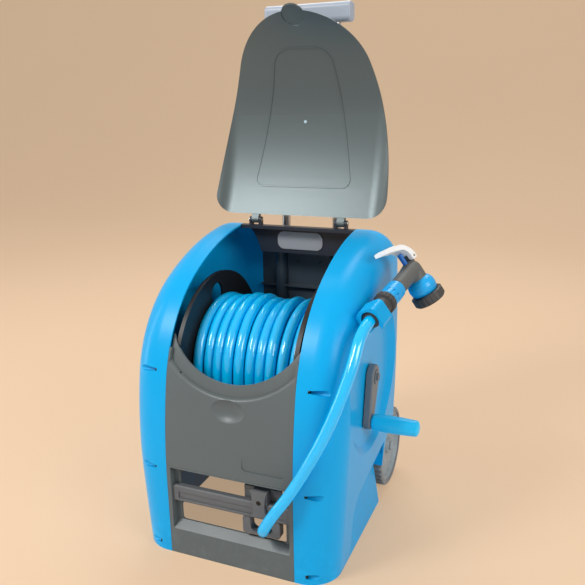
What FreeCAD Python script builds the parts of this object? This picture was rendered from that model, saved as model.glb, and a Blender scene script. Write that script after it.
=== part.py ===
import FreeCAD, Part
import math
import os
from FreeCAD import Matrix, Placement
from FreeCAD import Vector as V

# A hose reel cart: a moulded body of two side shells, a front and a back panel, a hinged lid,
# a crank reel with its hose, a sliding hose guide, two wheels, a pull handle and a spray gun.
# Frame: millimetres, +Z up, +Y to the rear, origin at the middle of the front foot on the floor.

# Body envelope
HALF_WIDTH = 180.0
BELLY_Z = 320.0
SIDE_RADIUS = 3900.0
WALL = 3.0
EDGE_RADIUS = 50.0
FRONT_STRAIGHT = 130.0
ROOF_ARCS = ((794.0, 12.0), (215.0, 62.0), (429.0, 86.0))
REAR_RADIUS = 60.0
SEAM_X = 108.0
SEAM_GAP = 0.4
REACH = 260.0

# Front panel
CUT_RADIUS = 125.0
CUT_CENTRE_Z = 423.0
BAND_WIDTH = 18.0
BAND_DEPTH = 6.5
BAND_ROLL = 6.2
DIMPLE_Z = 264.0
DIMPLE_WIDTH = 56.0
DIMPLE_HEIGHT = 36.0
DIMPLE_DEPTH = 7.0
LABEL_BOX = (25.0, 95.0, 172.0, 196.0)
LABEL_DEPTH = 0.8
TRAY_MARGIN = 6.6
TRAY_Z = (45.0, 153.0)
TRAY_DEPTH = 13.0
WINDOW_X = (-91.0, 91.0)
WINDOW_Z = 56.0
FOOT_DEPTH = 24.0

# Guide rail and hose guide
RAIL_Z = (93.0, 121.0)
RAIL_Y = (4.0, 16.0)
GUIDE_X = 52.0
GUIDE_PLATE = 4.0
GUIDE_TOP = 144.0
EYE_HALF = 18.0
EYE_POST = 13.0
EYE_FLOOR = 69.0
EYE_BAR = 5.0
EYE_RISE = 9.0
SLIDE_GAP = 0.4

# Side shell features
DISH_FLOOR = 169.0
DISH_RADIUS = 112.0
DISH_SLOPE = 1.5
DISH_EDGE = 8.0
SCOOP_FRONT = 91.0
SCOOP_CORNER = 46.0
SCOOP_TOP = (104.0, 122.0)
SCOOP_REAR = 262.0
SCOOP_LEAN = 0.155
SCOOP_FOOT_X = 167.0
SCREW_HEIGHTS = (14.0, 150.0, 306.5)
SCREW_SEAT_X = 126.0
SCREW_SHANK = 1.9
SCREW_HEAD = 3.8
SCREW_FIT = 0.1
NOTCH_RADIUS = 4.6
POST_RADIUS = 8.0
POST_INSET = 4.2

# Back panel, grip pocket and handle guides
BACK_HALF = 95.0
FLARE_Z = (455.0, 485.0)
HEADER_FRONT = 317.0
HEADER_Z = 437.0
HEADER_HALF = 78.0
HEADER_WAIST = (84.0, 457.0)
HEADER_FLARE_Z = 490.0
HEADER_ROOF_Y = 296.0
BACK_FOOT_Z = 45.0
RIB_X = 55.0
RIB_RADIUS = 12.0
CROSS_RIB_Z = 364.0
CROSS_RIB_DEPTH = 10.0
POCKET_HALF = 43.0
POCKET_Z = (445.0, 477.0)
POCKET_CORNER = 12.0
POCKET_WALL = 2.5
POCKET_PROUD = 2.0

# Lid and hinges
LID_GAP = 0.8
LID_WALL = 3.0
LID_HALF = 160.0
LID_WAIST = 119.0
LID_BULGE = 8.0
LID_CORNER = 34.0
LID_REAR = 11.0
LID_TIP_RADIUS = 126.0
LID_TIP_RISE = 85.0
LID_OPEN = 122.0
RIDGE_LOW = (92.0, 57.0)
RIDGE_HIGH = (51.0, 293.0)
RIDGE_CORNERS = (14.0, 36.0)
RIDGE_WIDTH = 2.4
RIDGE_RISE = 0.9
GATE_PLACE = 168.0
GATE_RADIUS = 3.0
TAB_RADIUS = 19.0
TAB_BACK = 11.0
TAB_SHIFT = 1.4
HINGE_Y = 306.0
HINGE_Z = 498.0
HINGE_X = 81.0
PIN_RADIUS = 2.2
PIN_CLEAR = 0.06
KNUCKLE_RADIUS = 6.0
KNUCKLE_HALF = 6.6
EAR_WALL = 4.0
EAR_GAP = 0.6

# Reel, crank and water inlet
AXIS_Y = 180.0
AXIS_Z = 277.0
FLANGE_RADIUS = 151.0
FLANGE_WALL = 4.0
FLANGE_LIP = 3.0
FLANGE_X = 95.0
REEL_GAP = 1.5
FLANGE_HOLES = 4
FLANGE_HOLE_RADIUS = 20.0
FLANGE_HOLE_RING = 115.0
FLANGE_HOLE_TURN = 94.0
DRUM_RADIUS = 45.0
DRUM_WALL = 4.0
HUB_RADIUS = 20.0
HUB_LENGTH = 22.0
SHAFT_RADIUS = 9.0
RUN_CLEAR = 0.06
BUSH_RADIUS = 14.0
BUSH_LIP = 19.0
BUSH_LIP_WALL = 3.0
CRANK_LENGTH = 72.0
CRANK_TILT = 18.0
CRANK_WALL = 11.0
CRANK_HUB = 20.0
CRANK_END = 13.0
CRANK_GAP = 2.0
CRANK_PIN = 5.0
GRIP_RADIUS = 14.0
GRIP_LENGTH = 70.0
GRIP_GAP = 1.0
CAP_LENGTH = 5.0
INLET_REACH = 26.0
INLET_RADIUS = 12.6
INLET_THREAD = 13.2
NUT_LENGTH = 7.0
INLET_BORE = 6.0

# Hose
HOSE_RADIUS = 8.5
WIND_PITCH = 17.6
WIND_START_X = -79.0
WIND_TURNS = 8.0
WIND_RADIUS = 106.0
WIND_WAVE = 3.5
WIND_WAVE_LENGTH = 80.0
CORE_GAP = 0.8
CORE_END_GAP = 2.0
HOSE_GAP = 0.4
HOSE_DROP = 40.0

# Wheels and axle
WHEEL_Y = 341.0
WHEEL_RADIUS = 73.0
WHEEL_X = (138.0, 168.0)
WELL_GAP = 6.0
WELL_SIDE = 4.0
TYRE_WALL = 9.0
TREAD_RIBS = 36
TREAD_DEPTH = 2.0
AXLE_RADIUS = 5.0
WHEEL_CAP = 9.0
AXLE_BOSS = 12.0

# Pull handle
TUBE_X = 50.0
TUBE_Y = 374.0
TUBE_RADIUS = 8.0
TUBE_WALL = 1.2
TUBE_TOP = 850.0
BAR_HALF = 79.0
BAR_HEIGHT = 33.0
BAR_LAP = 18.0
BAR_DEPTH = 28.0
BAR_CORNER = 9.0
GUIDE_HALF = 70.0
GUIDE_DEPTH = 28.0
UPPER_GUIDE_Z = (398.0, 428.0)
LOWER_GUIDE_Z = (112.0, 140.0)
PLUG_RADIUS = 9.6
PLUG_LENGTH = 12.0

# Spray gun, laid along the side: hose end, neck and the way the nozzle points
GUN_START = V(196.0, 93.0, 400.0)
GUN_NECK = V(221.5, 239.0, 441.5)
GUN_AIM = V(52.1, 18.2, -83.4)
CONNECTOR_LENGTH = 57.0
CONNECTOR_RADIUS = 14.0
RELEASE_LENGTH = 12.0
RELEASE_RADIUS = 17.5
RELEASE_FLUTES = 16
COLLAR_LENGTH = 1.4
COLLAR_RADIUS = 11.0
SPIGOT_RADIUS = 8.0
RING_LENGTH = 36.0
RING_RADIUS = 15.0
RING_FLUTES = 12
WATER_BORE = 5.0
GUN_RADIUS = 13.0
NOZZLE_RADIUS = 16.0
NOZZLE_LENGTH = 16.0
HEAD_RADIUS = 23.0
HEAD_LENGTH = 26.0
DIAL_RADIUS = 26.5
DIAL_LENGTH = 16.0
DIAL_GAP = 0.4
TRIGGER_WIDTH = 24.0
TRIGGER_PIVOT = (10.0, -19.0)
TRIGGER_PIN = 2.0
TRIGGER_BACK = ((7.0, -2.0), (-4.0, -20.0), (-26.0, -32.0), (-43.0, -38.0), (-57.0, -39.5))
TRIGGER_UNDER = ((-58.0, -34.0), (-43.0, -29.5), (-26.0, -23.0), (-11.0, -14.0), (-6.0, 4.0), (5.0, 5.0))
TRIGGER_PULL = 20.0
TRIGGER_STEPS = 4
TRIGGER_GAP = 0.4
KNEE_SWELL = 3.0
PLUNGER_RADIUS = 4.0
HOLDER_X = (-1.5, 27.0)
HOLDER_WALL = 3.2
HOLDER_CORNER = 8.0
HOLDER_CLEAR = 0.3
HOLDER_SLOT = 19.0
HOLDER_STEM = 18.0

# Values worked out from the sizes above
WELL_INNER = WHEEL_X[0] - WELL_SIDE
FRONT_INNER = WALL
PANEL_X = SEAM_X - SEAM_GAP
TRAY_HALF = PANEL_X - TRAY_MARGIN
BAR_Z = (TUBE_TOP - BAR_LAP, TUBE_TOP - BAR_LAP + BAR_HEIGHT)
CRANK_X = DISH_FLOOR + CRANK_GAP
CRANK_TOP = CRANK_X + CRANK_WALL
CRANK_ANGLE = math.radians(CRANK_TILT)
PIN_Y = AXIS_Y - CRANK_LENGTH * math.sin(CRANK_ANGLE)
PIN_Z = AXIS_Z - CRANK_LENGTH * math.cos(CRANK_ANGLE)
GRIP_X = CRANK_TOP + GRIP_GAP
TUBE_FOOT = UPPER_GUIDE_Z[0] - SLIDE_GAP
CORE_RADIUS = WIND_RADIUS - WIND_WAVE - HOSE_RADIUS - CORE_GAP


# Small makers
def box(x0, x1, y0, y1, z0, z1):
    return Part.makeBox(x1 - x0, y1 - y0, z1 - z0, V(x0, y0, z0))


def rod_x(radius, x0, x1, y, z):
    return Part.makeCylinder(radius, x1 - x0, V(x0, y, z), V(1, 0, 0))


def rod_y(radius, y0, y1, x, z):
    return Part.makeCylinder(radius, y1 - y0, V(x, y0, z), V(0, 1, 0))


def rod_z(radius, z0, z1, x, y):
    return Part.makeCylinder(radius, z1 - z0, V(x, y, z0), V(0, 0, 1))


def on_axis(radius, x0, x1):
    return rod_x(radius, x0, x1, AXIS_Y, AXIS_Z)


def mirrored(shape):
    return shape.mirror(V(0, 0, 0), V(1, 0, 0))


def outline(start, *steps):
    """Closed face from a start point and steps: a point is a line, a pair is an arc through its first."""
    edges, here = [], start
    for step in steps + (start,):
        if isinstance(step, tuple):
            edges.append(Part.Arc(here, step[0], step[1]).toShape())
            here = step[1]
        elif (step - here).Length > 1e-6:
            edges.append(Part.makeLine(here, step))
            here = step
    return Part.Face(Part.Wire(edges))


def rounded_box(x0, x1, y0, y1, z0, z1, radius, axis):
    """Box whose four edges along one axis are rounded."""
    block = box(x0, x1, y0, y1, z0, z1)
    along = [e for e in block.Edges if abs(e.tangentAt(e.FirstParameter).dot(axis)) > 0.9]
    return block.makeFillet(radius, along)


def softened(shape, radius, keep):
    """Fillet of the edges that a test on the edge keeps."""
    return shape.makeFillet(radius, [e for e in shape.Edges if keep(e)])


def ring_at(edge, axis, place):
    """True for a circle edge lying in the plane at one place along an axis."""
    low, high = edge.BoundBox.getPoint(0), edge.BoundBox.getPoint(6)
    return abs(low.dot(axis) - place) < 1e-3 and abs(high.dot(axis) - place) < 1e-3


def turned(profile, base, axis):
    """Solid of revolution from a list of points, in the plane of the axis."""
    face = Part.Face(Part.makePolygon(profile + [profile[0]]))
    return face.revolve(base, axis, 360)


def lathe_x(stations, y, z):
    """Solid turned about an X line through y, z: pairs of place along X and radius."""
    first, last = stations[0][0], stations[-1][0]
    points = [V(first, y, z)]
    points += [V(x, y, z + r) for x, r in stations]
    points.append(V(last, y, z))
    return turned(points, V(0, y, z), V(1, 0, 0))


# Body envelope
def roof_profile(inset, bottom):
    """Side outline set in by a wall: straight front, roof arcs, rear corner, straight rear."""
    here = V(0, inset, FRONT_STRAIGHT)
    edges = [Part.makeLine(V(0, inset, bottom), here)]
    heading = 0.0
    for radius, reached in ROOF_ARCS + ((REAR_RADIUS, 180.0),):
        r = radius - inset
        a = math.radians(heading)
        centre = here + V(0, r * math.cos(a), -r * math.sin(a))
        spots = []
        for angle in ((heading + reached) / 2, reached):
            b = math.radians(angle)
            spots.append(centre + V(0, -r * math.cos(b), r * math.sin(b)))
        edges.append(Part.Arc(here, spots[0], spots[1]).toShape())
        here, heading = spots[1], reached
    edges.append(Part.makeLine(here, V(0, here.y, bottom)))
    edges.append(Part.makeLine(V(0, here.y, bottom), V(0, inset, bottom)))
    return edges


def rear_y():
    return roof_profile(0.0, 0.0)[-1].BoundBox.YMax


def front_y(height):
    """Front face of the body at a height, up to the end of the second roof arc."""
    if height <= FRONT_STRAIGHT:
        return 0.0
    r1, h1 = ROOF_ARCS[0]
    end1 = FRONT_STRAIGHT + r1 * math.sin(math.radians(h1))
    if height <= end1:
        return r1 - math.sqrt(r1 ** 2 - (height - FRONT_STRAIGHT) ** 2)
    r2 = ROOF_ARCS[1][0]
    a = math.radians(h1)
    centre_y = r1 * (1 - math.cos(a)) + r2 * math.cos(a)
    centre_z = end1 - r2 * math.sin(a)
    return centre_y - math.sqrt(r2 ** 2 - (height - centre_z) ** 2)


def side_x(height, inset=0.0):
    """Half-width of the barrelled side wall at a height."""
    r = SIDE_RADIUS - inset
    return HALF_WIDTH - SIDE_RADIUS + math.sqrt(r ** 2 - (height - BELLY_Z) ** 2)


def body_block(inset=0.0, bottom=0.0):
    """The whole body as one rounded block, set in by a wall or out by a clearance."""
    top = 2 * BELLY_Z
    slab = Part.Face(Part.Wire(roof_profile(inset, bottom))).extrude(V(2 * REACH, 0, 0))
    slab.translate(V(-REACH, 0, 0))
    low, high = side_x(bottom, inset), side_x(top, inset)
    belly = side_x(BELLY_Z, inset)
    sides = outline(
        V(-low, -REACH, bottom),
        V(low, -REACH, bottom),
        (V(belly, -REACH, BELLY_Z), V(high, -REACH, top)),
        V(-high, -REACH, top),
        (V(-belly, -REACH, BELLY_Z), V(-low, -REACH, bottom)),
    ).extrude(V(0, 4 * REACH, 0))
    block = slab.common(sides)
    rims = [
        e for e in block.Edges
        if abs(e.CenterOfMass.x) > HALF_WIDTH / 2 and e.BoundBox.ZMax > bottom + 1.0
    ]
    return block.makeFillet(EDGE_RADIUS - inset, rims)


def rear_window(gap):
    """Prism of the back panel's outline, seen from behind: narrow below, flared under the roof."""
    low, high = BACK_HALF - gap, SEAM_X - gap
    z0, z1 = FLARE_Z
    y0 = HEADER_FRONT + 18.0
    mid = V((low + high) / 2 - 5.0, y0, (z0 + z1) / 2 + 5.0)
    mid_left = V(-mid.x, y0, mid.z)
    top = 2 * BELLY_Z
    face = outline(
        V(-low, y0, -REACH), V(low, y0, -REACH), V(low, y0, z0), (mid, V(high, y0, z1)),
        V(high, y0, top), V(-high, y0, top), V(-high, y0, z1), (mid_left, V(-low, y0, z0)),
    )
    return face.extrude(V(0, REACH, 0))


# Side shells
def dish(grow):
    """Round dish for the crank, with a sloped wall and a soft floor edge."""
    x0, height = DISH_FLOOR - grow, 40.0
    r0 = DISH_RADIUS + grow
    cone = Part.makeCone(r0, r0 + DISH_SLOPE * height, height, V(x0, AXIS_Y, AXIS_Z), V(1, 0, 0))
    return softened(cone, DISH_EDGE + grow, lambda e: ring_at(e, V(1, 0, 0), x0))


def scoop(grow):
    """Arched scoop low on the side: no depth at the floor, leaning in above."""
    y0, y1 = SCOOP_FRONT - grow, SCOOP_REAR
    z0, z1 = SCOOP_TOP[0] + grow, SCOOP_TOP[1] + grow
    r = SCOOP_CORNER
    bend = r * (1 - math.sqrt(0.5))
    arch = outline(
        V(0, y0, -WALL), V(0, y0, z0 - r), (V(0, y0 + bend, z0 - bend), V(0, y0 + r, z0)),
        V(0, y1, z1), V(0, y1, -WALL),
    ).extrude(V(REACH, 0, 0))
    x0, top = SCOOP_FOOT_X - grow, 2 * SCOOP_TOP[1]
    lean = outline(
        V(x0 + SCOOP_LEAN * WALL, 0, -WALL), V(x0 - SCOOP_LEAN * top, 0, top),
        V(REACH, 0, top), V(REACH, 0, -WALL),
    ).extrude(V(0, 2 * REACH, 0))
    return arch.common(lean)


def wheel_well(grow):
    """Space for the wheel: round over the axle and straight down to the floor in front of it."""
    radius, x0 = WHEEL_RADIUS + WELL_GAP + grow, WELL_INNER - grow
    arch = rod_x(radius, x0, REACH, WHEEL_Y, WHEEL_RADIUS)
    return arch.fuse(box(x0, REACH, WHEEL_Y - radius, 2 * REACH, -WALL, WHEEL_RADIUS))


def side_shell():
    """Right side shell: outer skin, front and rear returns, dish, scoop, wheel well, screw posts."""
    outer = body_block().cut([dish(0.0), scoop(0.0), wheel_well(0.0)])
    posts = [rod_x(POST_RADIUS, 0, REACH, front_y(z) + POST_INSET, z) for z in SCREW_HEIGHTS]
    inner = body_block(WALL, -WALL).cut([dish(WALL), scoop(WALL), wheel_well(WALL)] + posts)
    inner = inner.cut(rod_x(AXLE_BOSS, WELL_INNER - 5 * WALL, REACH, WHEEL_Y, WHEEL_RADIUS))
    shell = outer.cut(inner)
    middle = box(-REACH, SEAM_X, -REACH, HEADER_FRONT + 18.0, -WALL, 2 * BELLY_Z)
    left_half = box(-REACH, 0, -REACH, 2 * REACH, -WALL, 2 * BELLY_Z)
    shell = shell.cut([middle, rear_window(0.0), left_half])
    for z in SCREW_HEIGHTS:
        y = front_y(z) + POST_INSET
        shell = shell.cut(rod_x(NOTCH_RADIUS, SCREW_SEAT_X, REACH, y, z))
        shell = shell.cut(rod_x(SCREW_SHANK + SCREW_FIT, 0, SCREW_SEAT_X, y, z))
    shell = shell.cut(on_axis(BUSH_RADIUS + RUN_CLEAR, 0, REACH))
    return shell.cut(rod_x(AXLE_RADIUS + RUN_CLEAR, 0, REACH, WHEEL_Y, WHEEL_RADIUS))


def case_screws():
    """Screws that draw the shells to the front panel, in the notches of both front corners."""
    right = []
    for z in SCREW_HEIGHTS:
        y = front_y(z) + POST_INSET
        shank = rod_x(SCREW_SHANK, PANEL_X - 4.0, SCREW_SEAT_X, y, z)
        head = rod_x(SCREW_HEAD, SCREW_SEAT_X, SCREW_SEAT_X + 2.6, y, z)
        slot = box(SCREW_SEAT_X + 1.4, SCREW_SEAT_X + 3.0, y - 0.5, y + 0.5, z - 2.6, z + 2.6)
        right.append(shank.fuse(head).cut(slot))
    return Part.makeCompound(right + [mirrored(s) for s in right])


# Front panel
def front_disc(radius, y0=-10.0, y1=90.0):
    return rod_y(radius, y0, y1, 0, CUT_CENTRE_Z)


def front_panel():
    """Front panel: skin with the lid's U cut and seat band, dimple, guide tray, foot and flanges."""
    x = PANEL_X
    zone = box(-x, x, -10.0, 90.0, 0.0, front_top())
    skin = body_block().cut(body_block(WALL, -WALL)).common(zone)
    deep = body_block(BAND_DEPTH, -WALL).cut(body_block(BAND_DEPTH + WALL, -WALL)).common(zone)
    step = body_block().cut(body_block(BAND_DEPTH + WALL, -WALL)).common(zone)
    rim, thick = band_rims()
    band = deep.common(front_disc(thick)).cut(front_disc(CUT_RADIUS))
    wall = step.common(front_disc(thick)).cut(front_disc(rim))
    wall = softened(wall, BAND_ROLL, lambda e: on_front_ring(e, rim))
    panel = skin.cut(front_disc(thick)).fuse([band, wall, dimple_cup(), tray_box(), foot_lip()])
    flanges = [flange_strip(s) for s in (-1, 1)]
    panel = panel.fuse(flanges)
    panel = panel.cut([dimple_dish(0.0), tray_pocket(), tray_window(), label_recess()])
    panel = panel.cut([flange_relief(s) for s in (-1, 1)])
    for z in SCREW_HEIGHTS:
        panel = panel.cut(rod_x(SCREW_SHANK + SCREW_FIT, -x - 1, x + 1, front_y(z) + POST_INSET, z))
    return panel.removeSplitter()


def front_top():
    """Height where the U cut meets the seams."""
    return CUT_CENTRE_Z - math.sqrt(CUT_RADIUS ** 2 - SEAM_X ** 2)


def band_rims():
    """Radius of the seat band's outer wall, and of the thick ring that carries the rolled edge."""
    rim = CUT_RADIUS + BAND_WIDTH
    return rim, rim + BAND_ROLL + WALL


def on_front_ring(edge, radius):
    """True for an edge on the front face that runs round the U cut at a radius."""
    spot = edge.valueAt((edge.FirstParameter + edge.LastParameter) / 2)
    off = math.hypot(spot.x, spot.z - CUT_CENTRE_Z) - radius
    return abs(off) < 0.05 and spot.y - front_y(spot.z) < WALL / 2


def flange_relief(side):
    """Running space of a reel flange, cut from the back of the panel."""
    x0 = side * (FLANGE_X - REEL_GAP)
    x1 = side * (FLANGE_X + FLANGE_WALL + FLANGE_LIP + REEL_GAP)
    return on_axis(FLANGE_RADIUS + REEL_GAP, min(x0, x1), max(x0, x1))


def dimple_dish(grow):
    """Oval finger dish: an arc turned about a level line in front of the panel."""
    half, rise = DIMPLE_WIDTH / 2 + grow, DIMPLE_HEIGHT / 2
    girth = (rise ** 2 + DIMPLE_DEPTH ** 2) / (2 * DIMPLE_DEPTH)
    z = DIMPLE_Z
    y = front_y(z) + DIMPLE_DEPTH - girth
    end = y + girth - DIMPLE_DEPTH
    face = outline(V(-half, y, z), V(half, y, z), V(half, end, z), (V(0, y + girth + grow, z), V(-half, end, z)))
    return face.revolve(V(0, y, z), V(1, 0, 0), 360)


def dimple_cup():
    return dimple_dish(WALL).common(body_block()).cut(front_disc(band_rims()[1]))


def tray_box():
    """Walls round the recessed tray of the guide rail."""
    x = TRAY_HALF + WALL
    return box(-x, x, 0.0, TRAY_DEPTH + WALL, TRAY_Z[0] - WALL, TRAY_Z[1] + WALL)


def tray_pocket():
    """Space of the tray, with a sloped ledge at its foot."""
    z0, z1 = TRAY_Z
    d = TRAY_DEPTH
    face = outline(V(-TRAY_HALF, -1, z0), V(-TRAY_HALF, 0, z0), V(-TRAY_HALF, d, WINDOW_Z),
                   V(-TRAY_HALF, d, z1), V(-TRAY_HALF, -1, z1))
    return face.extrude(V(2 * TRAY_HALF, 0, 0))


def tray_window():
    d = TRAY_DEPTH
    return rounded_box(WINDOW_X[0], WINDOW_X[1], d - 1, d + 2 * WALL, WINDOW_Z, TRAY_Z[1] - 2.0, 5.0, V(0, 1, 0))


def label_recess():
    x0, x1, z0, z1 = LABEL_BOX
    y = front_y((z0 + z1) / 2)
    return rounded_box(x0, x1, -10.0, y + LABEL_DEPTH, z0, z1, 6.0, V(0, 1, 0))


def foot_lip():
    x = PANEL_X
    return box(-x, x, 0.0, FOOT_DEPTH, 0.0, WALL)


def flange_strip(side):
    """Inner flange along one seam, which the case screws hold."""
    x0, x1 = sorted((side * PANEL_X, side * (PANEL_X - WALL)))
    strip = box(x0, x1, 0.0, 90.0, 0.0, front_top() - BAND_WIDTH)
    depth = POST_INSET + POST_RADIUS
    return strip.common(body_block()).cut(body_block(depth, -WALL))


# Guide rail and hose guide
def guide_rail():
    """Bar across the tray with a groove along its face; its ends stand on the tray's back frame."""
    y0, y1 = RAIL_Y
    z0, z1 = RAIL_Z
    x = TRAY_HALF - SEAM_GAP
    bar = rounded_box(-x, x, y0, TRAY_DEPTH, z0, z1, 3.0, V(1, 0, 0))
    deep = rounded_box(WINDOW_X[0] + 1, WINDOW_X[1] - 1, y0, y1, z0, z1, 3.0, V(1, 0, 0))
    middle = (z0 + z1) / 2
    groove = box(WINDOW_X[0], WINDOW_X[1], y0 - 1, y0 + 2.0, middle - 8.0, middle + 4.0)
    return bar.fuse(deep).cut(groove).removeSplitter()


def guide_plate():
    """Bow-tie plate in front of the rail with its bridge over the rail's top edge."""
    y1 = RAIL_Y[0] - SLIDE_GAP
    y0 = y1 - GUIDE_PLATE
    z0, z1 = RAIL_Z[0] + 6.0, GUIDE_TOP
    zw = (z0 + z1) / 2
    x = GUIDE_X
    plate = outline(
        V(x - 12, y0, z0), V(x + 12, y0, z0), (V(x + 9.6, y0, zw), V(x + 14.5, y0, z1)),
        V(x - 14.5, y0, z1), (V(x - 9.6, y0, zw), V(x - 12, y0, z0)),
    ).extrude(V(0, GUIDE_PLATE, 0))
    bridge = box(x - 13, x + 13, y1 - 1, RAIL_Y[1] + SLIDE_GAP, RAIL_Z[1] + SLIDE_GAP, z1 - 4.0)
    bridge = bridge.cut(box(x - 9, x + 9, y1 + 2, REACH, RAIL_Z[1] + 4.0, z1 - 8.0))
    screw = rod_y(SCREW_SHANK + SCREW_FIT, y0 - 1, y0 + 60, x, guide_screw_z())
    seat = rod_y(SCREW_HEAD + SCREW_FIT, y0 - 1, y0 + 2.4, x, guide_screw_z())
    return plate.fuse(bridge).cut([screw, seat]).removeSplitter()


def guide_screw_z():
    return RAIL_Z[1] + SLIDE_GAP + 4.6 - 2.3


def guide_eye():
    """Rear plate behind the rail with the eye that hangs under it round the hose."""
    y0 = RAIL_Y[1] + SLIDE_GAP
    y1 = y0 + GUIDE_PLATE
    x = GUIDE_X
    half = EYE_HALF + EYE_POST
    plate = box(x - half, x + half, y0, y1, RAIL_Z[0] - 2.0, GUIDE_TOP - 4.0)
    low = EYE_FLOOR - EYE_BAR
    top = RAIL_Z[0] - SLIDE_GAP
    loop = rounded_box(x - half, x + half, RAIL_Y[0] + 2.0, y1, low, top, 4.0, V(0, 1, 0))
    hole = rounded_box(x - EYE_HALF, x + EYE_HALF, -10, 60, EYE_FLOOR, top + 20.0, 9.0, V(0, 1, 0))
    hole = hole.common(box(-REACH, REACH, -10, 60, EYE_FLOOR, top))
    hole = hole.fuse(box(x - EYE_HALF, x + EYE_HALF, -10, 60, top - 12.0, top))
    hole = hole.fuse(box(x - EYE_HALF, x + EYE_HALF, y0 - 1, 60, top - 1.0, top + EYE_RISE))
    screw = rod_y(SCREW_SHANK + SCREW_FIT, -10, 60, x, guide_screw_z())
    return plate.fuse(loop).cut([hole, screw]).removeSplitter()


def guide_screw():
    y0 = RAIL_Y[0] - SLIDE_GAP - GUIDE_PLATE
    z = guide_screw_z()
    head = rod_y(SCREW_HEAD, y0 + 0.6, y0 + 2.4, GUIDE_X, z)
    shank = rod_y(SCREW_SHANK, y0 + 2.4, RAIL_Y[1] + SLIDE_GAP + GUIDE_PLATE, GUIDE_X, z)
    return head.fuse(shank)


# Back panel, pocket and handle guides
def back_panel():
    """Rear wall with its stiffening ribs, up to the foot of the header."""
    return rear_moulding().common(box(-REACH, REACH, 0, 2 * REACH, -WALL, HEADER_Z)).removeSplitter()


def header_box():
    """Box over the rear wall that carries the hinge ears and holds the hand pocket."""
    return rear_moulding().common(box(-REACH, REACH, 0, 2 * REACH, HEADER_Z, 2 * BELLY_Z)).removeSplitter()


def rear_moulding():
    """Rear wall, ribs, header and hinge ears in one, before the header is parted from the wall."""
    shell = body_block().cut(body_block(WALL, -WALL))
    core = body_block(WALL, -WALL)
    x = PANEL_X
    roof = shell.common(box(-x, x, HEADER_ROOF_Y, HEADER_FRONT + 18.0, HEADER_Z, 2 * BELLY_Z))
    wall = shell.common(rear_window(SEAM_GAP))
    inner_rear = rear_y() - WALL
    front = header_outline().common(core)
    tongue = box(-x, x, HEADER_ROOF_Y, HEADER_FRONT, HEADER_Z, 2 * BELLY_Z)
    lip = tongue.common(body_block(WALL)).cut(body_block(2 * WALL))
    ledge = box(-HEADER_HALF, HEADER_HALF, HEADER_FRONT, inner_rear, HEADER_Z, HEADER_Z + WALL)
    half = BACK_HALF - SEAM_GAP
    cross = box(-half, half, inner_rear - CROSS_RIB_DEPTH, inner_rear, CROSS_RIB_Z, CROSS_RIB_Z + WALL)
    panel = wall.fuse([roof, front, lip, ledge, cross] + [back_rib(s * RIB_X) for s in (-1, 1)])
    panel = panel.cut(box(-REACH, REACH, 0, 2 * REACH, -WALL, BACK_FOOT_Z))
    panel = panel.fuse([hinge_ear(s * HINGE_X + t) for s in (-1, 1) for t in ear_places()])
    panel = panel.cut([pocket_block(SEAM_GAP), hinge_bore(PIN_RADIUS + PIN_CLEAR)])
    for hole in guide_screw_holes(SCREW_SHANK + SCREW_FIT):
        panel = panel.cut(hole)
    return panel


def header_outline():
    """Front plate of the header: narrow at its foot and flared to the roof's width."""
    y, x, top = HEADER_FRONT, PANEL_X, 2 * BELLY_Z
    foot, flare = HEADER_Z, HEADER_FLARE_Z
    waist_x, waist_z = HEADER_WAIST
    face = outline(
        V(-HEADER_HALF, y, foot), V(HEADER_HALF, y, foot), (V(waist_x, y, waist_z), V(x, y, flare)),
        V(x, y, top), V(-x, y, top), V(-x, y, flare), (V(-waist_x, y, waist_z), V(-HEADER_HALF, y, foot)),
    )
    return face.extrude(V(0, WALL, 0))


def back_rib(x):
    """Half-round stiffening rib up the inside of the rear wall."""
    y = rear_y() - WALL
    rib = rod_z(RIB_RADIUS, BACK_FOOT_Z, HEADER_Z, x, y)
    rib = rib.cut(rod_z(RIB_RADIUS - WALL, BACK_FOOT_Z - 1, HEADER_Z + 1, x, y))
    return rib.common(box(-REACH, REACH, 0, y + WALL / 2, 0, 2 * BELLY_Z))


def ear_places():
    """Middles of a hinge's two ears, from the hinge's middle."""
    out = KNUCKLE_HALF + EAR_GAP + EAR_WALL / 2
    return (-out, out)


def hinge_ear(x):
    x0, x1 = x - EAR_WALL / 2, x + EAR_WALL / 2
    eye = rod_x(KNUCKLE_RADIUS, x0, x1, HINGE_Y, HINGE_Z)
    foot = box(x0, x1, HINGE_Y - KNUCKLE_RADIUS, HINGE_Y + KNUCKLE_RADIUS, HINGE_Z - 12.0, HINGE_Z)
    return eye.fuse(foot).cut(body_block(2 * WALL))


def hinge_bore(radius):
    return rod_x(radius, -REACH, REACH, HINGE_Y, HINGE_Z)


def hinge_pins():
    """One bright pin through each hinge, with a small head outside."""
    pins = []
    for side in (-1, 1):
        out = KNUCKLE_HALF + EAR_GAP + EAR_WALL + 0.4
        x = side * HINGE_X
        pin = rod_x(PIN_RADIUS, x - out, x + out, HINGE_Y, HINGE_Z)
        x0, x1 = sorted((x + side * out, x + side * (out + 1.6)))
        pins.append(pin.fuse(rod_x(PIN_RADIUS + 1.4, x0, x1, HINGE_Y, HINGE_Z)))
    return Part.makeCompound(pins)


def pocket_block(grow):
    z0, z1 = POCKET_Z
    h = POCKET_HALF
    return rounded_box(-h - grow, h + grow, HEADER_FRONT - POCKET_PROUD, 2 * REACH,
                       z0 - grow, z1 + grow, POCKET_CORNER + grow, V(0, 1, 0))


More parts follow.
